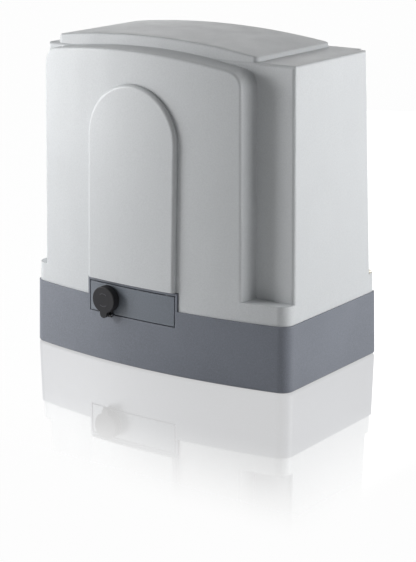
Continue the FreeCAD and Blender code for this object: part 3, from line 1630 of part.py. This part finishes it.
def limit_switch_hub():
    half = switch_height / 2 - switch_wall - seat_gap
    hub = rod_z(switch_hub_radius, drive_x, switch_y, switch_z - half, switch_z + half)
    hub = hub.cut(rod_z(switch_pivot_radius + running_gap, drive_x, switch_y, 0, above_all))
    stem = rod_y(switch_stem_radius, drive_x, switch_z, switch_y + switch_hub_radius - overlap, pinion_front)
    return joined([hub, stem])


def limit_switch_spring():
    """Close wound spring lever, hollow, with one rounded rib for each coil."""
    inner = switch_stem_radius + fit_gap
    low = switch_spring_radius - switch_spring_wire / 2
    pitch = switch_spring_length / switch_spring_coils
    start = arch_rear + switch_spring_gap
    end = start + switch_spring_length
    outline = [Part.LineSegment(Vector(0, start, inner), Vector(0, start, low)).toShape()]
    for coil in range(switch_spring_coils):
        y = start + coil * pitch
        outline.append(Part.Arc(Vector(0, y, low), Vector(0, y + pitch / 2, switch_spring_radius),
                                Vector(0, y + pitch, low)).toShape())
    outline.append(Part.LineSegment(Vector(0, end, low), Vector(0, end, inner)).toShape())
    outline.append(Part.LineSegment(Vector(0, end, inner), Vector(0, start, inner)).toShape())
    spring = Part.Face(Part.Wire(outline)).revolve(Vector(0, 0, 0), Vector(0, 1, 0), 360)
    spring.translate(Vector(drive_x, 0, switch_z))
    return spring


def pinion():
    tip = pinion_module * (pinion_teeth / 2 + overlap)
    root = pinion_module * (pinion_teeth / 2 - tooth_dedendum)
    wire = gear_outline(pinion_module, pinion_teeth, tip, root, pinion_thinning, math.pi / 2, pinion_front)
    gear = prism(wire, Vector(0, pinion_width, 0))
    rear = pinion_front + pinion_width
    recess = tube_y(root - pinion_recess_wall, shaft_radius + pinion_hub_wall, drive_x, drive_z,
                    rear - pinion_recess_depth, rear + overlap)
    gear = gear.cut(recess)
    gear = gear.cut(rod_y(shaft_radius + fit_gap, drive_x, drive_z, pinion_front - overlap, rear + overlap))
    return gear.cut(key_way(0))


def pinion_screw():
    """Screw and washer that hold the pinion on its shaft."""
    rear = pinion_front + pinion_width
    head_y = rear + washer_thickness
    washer = rod_y(shaft_radius + washer_reach, drive_x, drive_z, rear, head_y)
    points = [Vector(drive_x + across, head_y, drive_z + up) for across, up in hexagon(pinion_screw_corner)]
    head = prism(polygon(points), Vector(0, pinion_screw_head, 0))
    stem = rod_y(shaft_thread_radius - fit_gap, drive_x, drive_z, rear - pinion_screw_length,
                 head_y + overlap)
    return joined([washer, head, stem])


def cable_grommet():
    collar_top = base_floor + grommet_collar_height
    body = rod_z(cable_hole_radius - fit_gap, cable_x, cable_y, grommet_foot, collar_top)
    collar = rod_z(cable_hole_radius + grommet_collar, cable_x, cable_y, base_floor, collar_top)
    cone = Part.makeCone(cable_hole_radius - grommet_wall, grommet_hole_radius + grommet_wall,
                         grommet_cone_height, Vector(cable_x, cable_y, collar_top))
    ring = joined([body, collar, cone])
    bore_height = collar_top + grommet_cone_height + overlap
    bore_cone = Part.makeCone(cable_hole_radius - 2 * grommet_wall, grommet_hole_radius, bore_height,
                              Vector(cable_x, cable_y, 0))
    return ring.cut(bore_cone)


def levelling_screws():
    screws = []
    for place in leveller_places():
        screw = rod_z(leveller_radius, place.x, place.y, 0, leveller_length)
        tip = [edge for edge in screw.Edges if edge.BoundBox.ZMax < 1e-3]
        screw = screw.makeChamfer(leveller_point, tip)
        reach = leveller_radius + overlap
        slot = box(place.x - reach, place.x + reach, place.y - leveller_slot_half,
                   place.y + leveller_slot_half, leveller_length - leveller_slot_depth,
                   leveller_length + overlap)
        screws.append(screw.cut(slot))
    return Part.makeCompound(screws)


def cover_screws():
    screws = []
    for place in cover_screw_places():
        stem = rod_z(cover_screw_radius, place.x, place.y, ledge_z - cover_screw_length, ledge_z)
        head_top = ledge_z + cover_screw_head_height
        head = rod_z(cover_screw_head, place.x, place.y, ledge_z, head_top)
        rim = [edge for edge in head.Edges if edge.BoundBox.ZMin > head_top - cover_screw_head_edge]
        head = head.makeFillet(cover_screw_head_edge, rim)
        screw = stem.fuse(head)
        half = cover_screw_cross_width / 2
        for turn in (0, 90):
            cut = box(-cover_screw_cross_half, cover_screw_cross_half, -half, half,
                      ledge_z + cover_screw_cross_floor, head_top + overlap)
            cut.rotate(Vector(0, 0, 0), Vector(0, 0, 1), turn)
            cut.translate(Vector(place.x, place.y, 0))
            screw = screw.cut(cut)
        screws.append(screw)
    return Part.makeCompound(screws)


nodes = [
    base_housing, cover, front_panel, release_door, door_pin, lock_bezel, cap_pin, lock_cap, lock_plug,
    lock_tongue, release_yoke, release_pin, release_spring, gearbox_housing, gearbox_cover, gearbox_screws,
    shaft_bearings, oil_seal, output_shaft, pinion_key, worm_wheel, worm, rotor_core, worm_bearings,
    motor_stator, motor_windings, motor_case, motor_lower_bell, motor_upper_bell, motor_bolts, board_tray,
    control_board, board_screws, terminal_blocks, board_relays, fuse_holder, transformer, transformer_clamp,
    run_capacitor, capacitor_clip, limit_switch_body, limit_switch_hub, limit_switch_spring, pinion,
    pinion_screw, cable_grommet, levelling_screws, cover_screws,
]

os.makedirs("parts", exist_ok=True)
for make in nodes:
    make().exportStep(f"parts/{make.__name__}.step")
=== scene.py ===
import math

import bpy
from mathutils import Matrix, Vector


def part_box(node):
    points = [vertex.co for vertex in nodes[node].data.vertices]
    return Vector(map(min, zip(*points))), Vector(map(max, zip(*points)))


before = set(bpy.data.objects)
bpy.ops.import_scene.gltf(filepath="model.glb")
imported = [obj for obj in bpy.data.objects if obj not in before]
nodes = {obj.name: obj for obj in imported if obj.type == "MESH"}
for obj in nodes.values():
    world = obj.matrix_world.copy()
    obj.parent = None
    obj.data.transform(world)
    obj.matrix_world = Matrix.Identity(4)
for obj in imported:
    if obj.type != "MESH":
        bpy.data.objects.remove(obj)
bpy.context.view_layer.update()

# Looks of a sliding gate motor, in metres, in the frame of its solids:
# +Z up, front towards -Y, origin in the middle of the underside.

MM = 0.001

# The photograph's camera
camera_azimuth = math.radians(35.4)
camera_pitch = math.radians(15.3)
camera_distance = 1.7158
camera_target = Vector((0.04068, -0.04234, 0.0841))
camera_clip = (0.05, 50.0)
focal_pixels = 1819.3
frame_height_pixels = 562
sensor_long_side = 36.0

# Colours, linear
cover_colour = (0.655, 0.675, 0.690)
panel_colour = (0.660, 0.680, 0.695)
base_colour = (0.172, 0.187, 0.220)
door_colour = (0.164, 0.183, 0.212)
black_rubber_colour = (0.016, 0.016, 0.018)
black_plastic_colour = (0.028, 0.028, 0.031)
steel_colour = (0.56, 0.56, 0.58)
zinc_colour = (0.62, 0.61, 0.57)
zinc_stain_colour = (0.66, 0.62, 0.50)
aluminium_colour = (0.56, 0.57, 0.58)
iron_colour = (0.34, 0.34, 0.36)
bronze_colour = (0.72, 0.46, 0.20)
copper_colour = (0.46, 0.16, 0.06)
tape_colour = (0.72, 0.55, 0.12)
board_colour = (0.012, 0.12, 0.045)
solder_colour = (0.55, 0.52, 0.42)
green_colour = (0.05, 0.26, 0.09)
blue_colour = (0.03, 0.09, 0.28)
white_colour = (0.72, 0.72, 0.69)
floor_colour = (0.86, 0.86, 0.86)

# Edges: rays spent on rounding them, and the dot of rounded and flat normals where wear is full
edge_samples = 4
edge_dot = 0.80

# The two raised arcs on the cap's face; their lighter tint is a painted highlight along the
# ridges, their bump is real
arc_radius = 6.2 * MM
arc_half_span = 4.0 * MM
arc_line = 0.5 * MM
arc_height = 0.25 * MM
arc_sharp_part = 0.9
arc_highlight_tint = 5.0

# Light. The world is white to the eye and in reflections, and lights the motor at this level.
world_light = 0.06
# Place, width and power of each softbox
softboxes = {
    "left_softbox": ((-0.75, -0.50, 0.30), 0.5, 3.7),
    "left_upper_softbox": ((-0.80, -0.60, 0.50), 0.4, 3.5),
    "left_high_softbox": ((-0.70, -0.50, 1.10), 0.6, 0.4),
    "right_softbox": ((1.00, 0.35, 0.35), 0.6, 7.4),
    "top_softbox": ((0.05, -0.20, 1.80), 1.2, 1.3),
    "back_right_softbox": ((0.80, 0.90, 0.45), 0.7, 0.3),
    "back_left_softbox": ((-0.60, 1.20, 0.30), 0.8, 1.2),
}
softbox_aim = Vector((0, 0, 0.16))

# The floor as the camera sees it: white, with a share of real light for the shadow, and a mirror
# that fades out in front of the motor and to its right
floor_half = 6.0
floor_roughness = (0.14, 0.20)
floor_haze_scale = 14.0
floor_glow_share = 0.97
mirror_share = 0.43
mirror_roughness = 0.035
mirror_unevenness = 0.1
mirror_from = Vector((0.150, -0.080))
mirror_reach = Vector((0.579, 0.815))
mirror_fade = (0.12, 0.33)


def set_values(node, values):
    """Sets a node's inputs, named with underscores for spaces, and otherwise its settings."""
    for key, value in values.items():
        label = key.replace("_", " ")
        if label in node.inputs:
            node.inputs[label].default_value = value
        else:
            setattr(node, key, value)


def add(tree, kind, **values):
    """Adds a node with its inputs and settings."""
    node = tree.nodes.new(kind)
    set_values(node, values)
    return node


def shader(name, **values):
    """New material with its node tree and its surface node, which gets the values."""
    material = bpy.data.materials.new(name)
    material.use_nodes = True
    tree = material.node_tree
    bsdf = tree.nodes["Principled BSDF"]
    set_values(bsdf, values)
    return material, tree, bsdf


def place_texture(tree, scale=(1, 1, 1)):
    """Coordinates in metres, in the object's own frame, times a scale."""
    coords = add(tree, "ShaderNodeTexCoord")
    mapping = add(tree, "ShaderNodeMapping", Scale=scale)
    tree.links.new(coords.outputs["Object"], mapping.inputs["Vector"])
    return mapping.outputs["Vector"]


def object_axes(tree):
    """Coordinates in metres, in the object's own frame, one by one."""
    coords = add(tree, "ShaderNodeTexCoord")
    axes = add(tree, "ShaderNodeSeparateXYZ")
    tree.links.new(coords.outputs["Object"], axes.inputs["Vector"])
    return axes.outputs


def noise(tree, vector, scale, detail=3.0):
    """Cloudy noise, mostly between 0.3 and 0.7."""
    node = add(tree, "ShaderNodeTexNoise", Scale=scale, Detail=detail, Roughness=0.55)
    tree.links.new(vector, node.inputs["Vector"])
    return node.outputs["Fac"]


def ramp(tree, factor, low=0.0, high=1.0, start=0.3, end=0.7, curve="LINEAR"):
    """Goes from low to high while the factor goes from start to end."""
    node = add(tree, "ShaderNodeMapRange", interpolation_type=curve,
               From_Min=start, From_Max=end, To_Min=low, To_Max=high)
    tree.links.new(factor, node.inputs["Value"])
    return node.outputs["Result"]


def calculate(tree, operation, first, second=0.0):
    """One arithmetic node. Each side is a socket or a number."""
    node = add(tree, "ShaderNodeMath", operation=operation)
    for socket, value in zip(node.inputs, (first, second)):
        if isinstance(value, (int, float)):
            socket.default_value = value
        else:
            tree.links.new(value, socket)
    return node.outputs["Value"]


def blend_colour(tree, factor, colour_a, colour_b):
    """Mixes two colours, each a socket or a tuple, by a factor."""
    node = add(tree, "ShaderNodeMix", data_type="RGBA")
    tree.links.new(factor, node.inputs["Factor"])
    for label, value in (("A", colour_a), ("B", colour_b)):
        socket = [s for s in node.inputs if s.name == label and s.type == "RGBA"][0]
        if isinstance(value, tuple):
            socket.default_value = (*value, 1)
        else:
            tree.links.new(value, socket)
    return [s for s in node.outputs if s.type == "RGBA"][0]


def tint(colour, amount):
    """The colour times an amount, at most white."""
    return tuple(min(1.0, c * amount) for c in colour)


def layered_colour(tree, factor, low_colour, high_colour, layers):
    """Mixes two colours by a factor, then lays the colour of each mask over them."""
    body = blend_colour(tree, factor, low_colour, high_colour)
    for mask, colour in layers:
        body = blend_colour(tree, mask, body, colour)
    return body


def edge_mask(tree, radius, most):
    """0 on flat faces, rising to most along edges."""
    bevel = add(tree, "ShaderNodeBevel", samples=edge_samples, Radius=radius)
    geometry = add(tree, "ShaderNodeNewGeometry")
    dot = add(tree, "ShaderNodeVectorMath", operation="DOT_PRODUCT")
    tree.links.new(bevel.outputs["Normal"], dot.inputs[0])
    tree.links.new(geometry.outputs["Normal"], dot.inputs[1])
    return ramp(tree, dot.outputs["Value"], low=most, high=0.0, start=edge_dot, end=1.0)


def dress(tree, bsdf, colour, roughness, bumps, edge_radius=0.0):
    """Links colour and roughness, and stacks the bumps over rounded edges.
    Each bump is a height socket with a strength and a depth."""
    tree.links.new(colour, bsdf.inputs["Base Color"])
    tree.links.new(roughness, bsdf.inputs["Roughness"])
    normal = None
    if edge_radius:
        bevel = add(tree, "ShaderNodeBevel", samples=edge_samples, Radius=edge_radius)
        normal = bevel.outputs["Normal"]
    for height, strength, depth in bumps:
        bump = add(tree, "ShaderNodeBump", Strength=strength, Distance=depth)
        tree.links.new(height, bump.inputs["Height"])
        if normal is not None:
            tree.links.new(normal, bump.inputs["Normal"])
        normal = bump.outputs["Normal"]
    tree.links.new(normal, bsdf.inputs["Normal"])


def moulded(name, colour, roughness=0.42, grain=2200.0, grain_depth=0.04 * MM, gloss=0.45):
    """Moulded plastic: fine grain, faint flow marks, slight dust and worn edges."""
    material, tree, bsdf = shader(name, Specular_IOR_Level=gloss)
    where = place_texture(tree)
    broad = noise(tree, where, scale=9.0, detail=2.0)
    flow = noise(tree, place_texture(tree, (1, 1, 0.25)), scale=60.0, detail=4.0)
    fine = noise(tree, where, scale=grain, detail=2.0)
    dust = noise(tree, where, scale=750.0, detail=2.0)
    streaks = ramp(tree, flow, high=0.35, start=0.45, end=0.8)
    specks = ramp(tree, dust, high=0.5, start=0.35, end=0.75)
    worn = edge_mask(tree, radius=1.2 * MM, most=0.5)
    body = layered_colour(tree, ramp(tree, broad), tint(colour, 0.98), tint(colour, 1.03), (
        (streaks, tint(colour, 0.95)), (specks, tint(colour, 0.86)), (worn, tint(colour, 1.12))))
    sheen = ramp(tree, flow, low=roughness - 0.05, high=roughness + 0.07)
    dress(tree, bsdf, body, sheen, [(fine, 0.35, grain_depth)], edge_radius=0.8 * MM)
    return material


def painted(name, colour, roughness=0.42, cast=420.0, cast_depth=0.2 * MM):
    """Satin paint on a casting: orange peel over a faint cast surface, rubbed edges."""
    material, tree, bsdf = shader(name, Specular_IOR_Level=0.35,
                                  Coat_Weight=0.06, Coat_Roughness=0.25)
    where = place_texture(tree)
    broad = noise(tree, where, scale=12.0)
    peel = noise(tree, where, scale=1100.0, detail=2.0)
    skin = noise(tree, where, scale=cast)
    flakes = noise(tree, where, scale=900.0, detail=2.0)
    specks = ramp(tree, flakes, high=0.6, start=0.40, end=0.75)
    worn = edge_mask(tree, radius=1.2 * MM, most=0.6)
    body = layered_colour(tree, ramp(tree, broad), tint(colour, 0.92), tint(colour, 1.06), (
        (specks, tint(colour, 1.35)), (worn, tint(colour, 1.6))))
    sheen = ramp(tree, skin, low=roughness - 0.06, high=roughness + 0.08)
    bumps = [(skin, 0.25, cast_depth), (peel, 0.3, 0.06 * MM)]
    dress(tree, bsdf, body, sheen, bumps, edge_radius=0.9 * MM)
    return material


def raised_arcs(tree):
    """1 on two short arcs above and below the middle of the cap's face, 0 elsewhere."""
    low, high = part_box("lock_cap")
    cap_radius = (high[0] - low[0]) / 2
    axes = object_axes(tree)
    across = calculate(tree, "SUBTRACT", axes["X"], low[0] + cap_radius)
    up = calculate(tree, "SUBTRACT", axes["Z"], high[2] - cap_radius)
    squares = [calculate(tree, "MULTIPLY", side, side) for side in (across, up)]
    out = calculate(tree, "SQRT", calculate(tree, "ADD", *squares))
    off_line = calculate(tree, "ABSOLUTE", calculate(tree, "SUBTRACT", out, arc_radius))
    off_middle = calculate(tree, "ABSOLUTE", across)
    on_line = ramp(tree, off_line, low=1.0, high=0.0, start=0.5 * arc_line, end=arc_line)
    in_span = ramp(tree, off_middle, low=1.0, high=0.0,
                   start=arc_sharp_part * arc_half_span, end=arc_half_span)
    return calculate(tree, "MULTIPLY", on_line, in_span)


def rubber(name, colour, with_arcs=False):
    """Dull rubber with a fine matt skin and pale handling marks."""
    material, tree, bsdf = shader(name, Specular_IOR_Level=0.25)
    where = place_texture(tree)
    skin = noise(tree, where, scale=1500.0)
    marks = noise(tree, where, scale=90.0, detail=4.0)
    layers = []
    bumps = [(skin, 0.3, 0.05 * MM)]
    if with_arcs:
        arcs = raised_arcs(tree)
        # The arcs are tinted lighter: a painted highlight on the raised ridges, on top of their
        # real bump
        layers.append((arcs, tint(colour, arc_highlight_tint)))
        bumps.append((arcs, 1.0, arc_height))
    body = layered_colour(tree, ramp(tree, marks), colour, tint(colour, 1.6), layers)
    sheen = ramp(tree, marks, low=0.5, high=0.68)
    dress(tree, bsdf, body, sheen, bumps, edge_radius=0.6 * MM)
    return material


def metal(name, colour, roughness=0.32, grain=(0.4, 0.4, 9.0), stain=None):
    """Bare metal with directional tool marks and uneven sheen."""
    material, tree, bsdf = shader(name, Metallic=1.0)
    marks = noise(tree, place_texture(tree, grain), scale=100.0)
    cloud = noise(tree, place_texture(tree), scale=70.0, detail=4.0)
    worn = edge_mask(tree, radius=0.6 * MM, most=0.4)
    stain = stain or tint(colour, 1.05)
    body = layered_colour(tree, ramp(tree, cloud), tint(colour, 0.86), stain, (
        (worn, tint(colour, 1.25)),))
    sheen = ramp(tree, marks, low=roughness - 0.08, high=roughness + 0.12)
    dress(tree, bsdf, body, sheen, [(marks, 0.25, 0.03 * MM)], edge_radius=0.3 * MM)
    return material


def cast_metal(name, colour, roughness=0.5):
    """As-cast aluminium: pebbly skin with darker and lighter patches."""
    material, tree, bsdf = shader(name, Metallic=0.85)
    where = place_texture(tree)
    skin = noise(tree, where, scale=650.0, detail=4.0)
    cloud = noise(tree, where, scale=40.0)
    worn = edge_mask(tree, radius=1.2 * MM, most=0.6)
    body = layered_colour(tree, ramp(tree, cloud), tint(colour, 0.8), tint(colour, 1.05), (
        (worn, tint(colour, 1.35)),))
    sheen = ramp(tree, skin, low=roughness - 0.08, high=roughness + 0.12)
    dress(tree, bsdf, body, sheen, [(skin, 0.5, 0.25 * MM)], edge_radius=0.8 * MM)
    return material


def laminated(name, colour):
    """Stack of thin iron sheets seen edge on."""
    material, tree, bsdf = shader(name, Metallic=0.8)
    where = place_texture(tree)
    sheets = add(tree, "ShaderNodeTexWave", bands_direction="Z", Scale=320.0, Distortion=0.4)
    tree.links.new(where, sheets.inputs["Vector"])
    wave = sheets.outputs["Fac"]
    cloud = noise(tree, where, scale=80.0, detail=4.0)
    body = layered_colour(tree, wave, tint(colour, 0.55), tint(colour, 1.15), (
        (ramp(tree, cloud, high=0.5), tint(colour, 0.8)),))
    sheen = ramp(tree, cloud, low=0.35, high=0.55)
    dress(tree, bsdf, body, sheen, [(wave, 0.4, 0.1 * MM)])
    return material


def wound(name, colour, turns_scale, roughness=0.35):
    """Enamelled wire or tape laid in turns."""
    material, tree, bsdf = shader(name)
    where = place_texture(tree)
    turns = add(tree, "ShaderNodeTexWave", bands_direction="DIAGONAL",
                Scale=turns_scale, Distortion=1.5, Detail=2.0)
    tree.links.new(where, turns.inputs["Vector"])
    wave = turns.outputs["Fac"]
    cloud = noise(tree, where, scale=120.0)
    body = layered_colour(tree, wave, tint(colour, 0.5), tint(colour, 1.2), (
        (ramp(tree, cloud, high=0.5), tint(colour, 0.75)),))
    sheen = ramp(tree, cloud, low=roughness - 0.08, high=roughness + 0.12)
    dress(tree, bsdf, body, sheen, [(wave, 0.6, 0.3 * MM)])
    return material


def circuit(name, colour):
    """Solder mask with faint copper tracks and small pads."""
    material, tree, bsdf = shader(name)
    where = place_texture(tree)
    turned = add(tree, "ShaderNodeMapping", Rotation=(math.pi / 2, 0, 0))
    bricks = add(tree, "ShaderNodeTexBrick", Scale=150.0, Mortar_Size=0.06)
    cells = add(tree, "ShaderNodeTexVoronoi", Scale=260.0)
    tree.links.new(where, turned.inputs["Vector"])
    tree.links.new(turned.outputs["Vector"], bricks.inputs["Vector"])
    tree.links.new(where, cells.inputs["Vector"])
    tracks = bricks.outputs["Fac"]
    pads = ramp(tree, cells.outputs["Distance"], low=1.0, high=0.0, start=0.12, end=0.17)
    body = layered_colour(tree, tracks, colour, tint(colour, 1.9), ((pads, solder_colour),))
    sheen = ramp(tree, noise(tree, where, scale=60.0), low=0.2, high=0.35)
    dress(tree, bsdf, body, sheen, [(tracks, 0.2, 0.05 * MM)])
    return material


def finish_of_nodes():
    """Gives every solid its finish."""
    finishes = {
        moulded("cover_moulding", cover_colour): ["cover"],
        moulded("panel_moulding", panel_colour, 0.36, 2600.0, 0.03 * MM, 0.5): ["front_panel"],
        painted("base_paint", base_colour): ["base_housing"],
        painted("door_paint", door_colour, 0.4, 700.0, 0.12 * MM): ["release_door"],
        rubber("black_rubber", black_rubber_colour): ["oil_seal", "cable_grommet"],
        rubber("cap_rubber", black_rubber_colour, with_arcs=True): ["lock_cap"],
        moulded("black_moulding", black_plastic_colour, 0.4): [
            "lock_bezel", "motor_case", "board_tray", "limit_switch_body", "limit_switch_hub"],
        metal("turned_steel", steel_colour, 0.26): [
            "cap_pin", "door_pin", "release_pin", "release_spring", "shaft_bearings",
            "output_shaft", "pinion_key", "worm", "worm_bearings", "limit_switch_spring"],
        metal("zinc_plate", zinc_colour, 0.34, (0.6, 0.6, 0.6), zinc_stain_colour): [
            "lock_plug", "lock_tongue", "release_yoke", "gearbox_screws", "motor_bolts",
            "board_screws", "transformer_clamp", "capacitor_clip", "pinion", "pinion_screw",
            "levelling_screws", "cover_screws"],
        cast_metal("cast_aluminium", aluminium_colour): [
            "gearbox_housing", "gearbox_cover", "motor_lower_bell", "motor_upper_bell"],
        laminated("iron_laminations", iron_colour): ["rotor_core", "motor_stator"],
        metal("bronze", bronze_colour, 0.30): ["worm_wheel"],
        wound("copper_winding", copper_colour, 260.0): ["motor_windings"],
        wound("yellow_tape", tape_colour, 45.0, 0.45): ["transformer"],
        circuit("circuit_board", board_colour): ["control_board"],
        moulded("green_moulding", green_colour, 0.38): ["terminal_blocks"],
        moulded("blue_moulding", blue_colour, 0.3): ["board_relays"],
        moulded("white_moulding", white_colour, 0.35): ["fuse_holder", "run_capacitor"],
    }
    for material, names in finishes.items():
        for name in names:
            piece = nodes[name]
            piece.data.materials.clear()
            piece.data.materials.append(material)


def seen_directly(tree):
    """1 where a surface is looked at, reflected or seen through glass, 0 where it gives light."""
    path = add(tree, "ShaderNodeLightPath").outputs
    mirrored = calculate(tree, "MAXIMUM", path["Is Glossy Ray"], path["Is Transmission Ray"])
    return calculate(tree, "MAXIMUM", path["Is Camera Ray"], mirrored)


def mix_shaders(tree, factor, first, second):
    """Mixes two surfaces. The factor is a socket or a number."""
    node = add(tree, "ShaderNodeMixShader")
    if isinstance(factor, float):
        node.inputs["Fac"].default_value = factor
    else:
        tree.links.new(factor, node.inputs["Fac"])
    tree.links.new(first, node.inputs[1])
    tree.links.new(second, node.inputs[2])
    return node.outputs["Shader"]


def mirror_strength(tree):
    """Share of mirror on the floor, fading with the distance in front and to the right."""
    axes = object_axes(tree)
    right = calculate(tree, "SUBTRACT", axes["X"], mirror_from.x)
    front = calculate(tree, "SUBTRACT", mirror_from.y, axes["Y"])
    away = calculate(tree, "MAXIMUM", calculate(tree, "DIVIDE", right, mirror_reach.x),
                     calculate(tree, "DIVIDE", front, mirror_reach.y))
    start, end = mirror_fade
    return ramp(tree, away, mirror_share, 0.0, start, end, curve="SMOOTHSTEP")


def floor_finish():
    """Pale floor with a soft mirror near the motor."""
    material, tree, bsdf = shader("studio_floor", Base_Color=(*floor_colour, 1))
    haze = noise(tree, place_texture(tree), floor_haze_scale)
    tree.links.new(ramp(tree, haze, *floor_roughness), bsdf.inputs["Roughness"])
    glow = add(tree, "ShaderNodeEmission", Strength=1.0)
    matt = add(tree, "ShaderNodeBsdfDiffuse", Color=(*floor_colour, 1))
    white = mix_shaders(tree, floor_glow_share, matt.outputs["BSDF"], glow.outputs["Emission"])
    mirror = add(tree, "ShaderNodeBsdfAnisotropic", Color=(1, 1, 1, 1))
    blur = ramp(tree, haze, (1 - mirror_unevenness) * mirror_roughness,
                (1 + mirror_unevenness) * mirror_roughness)
    tree.links.new(blur, mirror.inputs["Roughness"])
    shown = mix_shaders(tree, mirror_strength(tree), white, mirror.outputs["BSDF"])
    surface = mix_shaders(tree, seen_directly(tree), bsdf.outputs["BSDF"], shown)
    tree.links.new(surface, tree.nodes["Material Output"].inputs["Surface"])
    return material


def softbox(name, place, width, power):
    """Square area lamp aimed at the middle of the motor."""
    lamp = bpy.data.lights.new(name, "AREA")
    lamp.shape = "SQUARE"
    lamp.size = width
    lamp.energy = power
    holder = bpy.data.objects.new(name, lamp)
    bpy.context.scene.collection.objects.link(holder)
    holder.location = place
    holder.rotation_mode = "QUATERNION"
    holder.rotation_quaternion = (softbox_aim - place).to_track_quat("-Z", "Y")


def studio():
    """Pale floor, white surroundings and softboxes around the motor."""
    bpy.ops.mesh.primitive_plane_add(size=2 * floor_half, location=(0, 0, 0))
    floor = bpy.context.object
    floor.name = "studio_floor"
    floor.data.materials.append(floor_finish())

    world = bpy.data.worlds.new("studio_world")
    bpy.context.scene.world = world
    world.use_nodes = True
    tree = world.node_tree
    background = tree.nodes["Background"]
    set_values(background, {"Color": (1, 1, 1, 1)})
    level = ramp(tree, seen_directly(tree), low=world_light, high=1.0, start=0.0, end=1.0)
    tree.links.new(level, background.inputs["Strength"])
    for name, (place, width, power) in softboxes.items():
        softbox(name, Vector(place), width, power)


def camera():
    """The photograph's camera, looking at its target from the front right and above."""
    lens = bpy.data.cameras.new("camera")
    lens.sensor_width = sensor_long_side
    lens.lens = focal_pixels / frame_height_pixels * sensor_long_side
    lens.clip_start, lens.clip_end = camera_clip
    view = bpy.data.objects.new("camera", lens)
    bpy.context.scene.collection.objects.link(view)
    back = Vector((math.sin(camera_azimuth) * math.cos(camera_pitch),
                   -math.cos(camera_azimuth) * math.cos(camera_pitch), math.sin(camera_pitch)))
    view.location = camera_target + back * camera_distance
    view.rotation_mode = "QUATERNION"
    view.rotation_quaternion = (-back).to_track_quat("-Z", "Y")
    bpy.context.scene.camera = view


camera()
studio()
finish_of_nodes()

bpy.context.scene.view_settings.view_transform = "Standard"
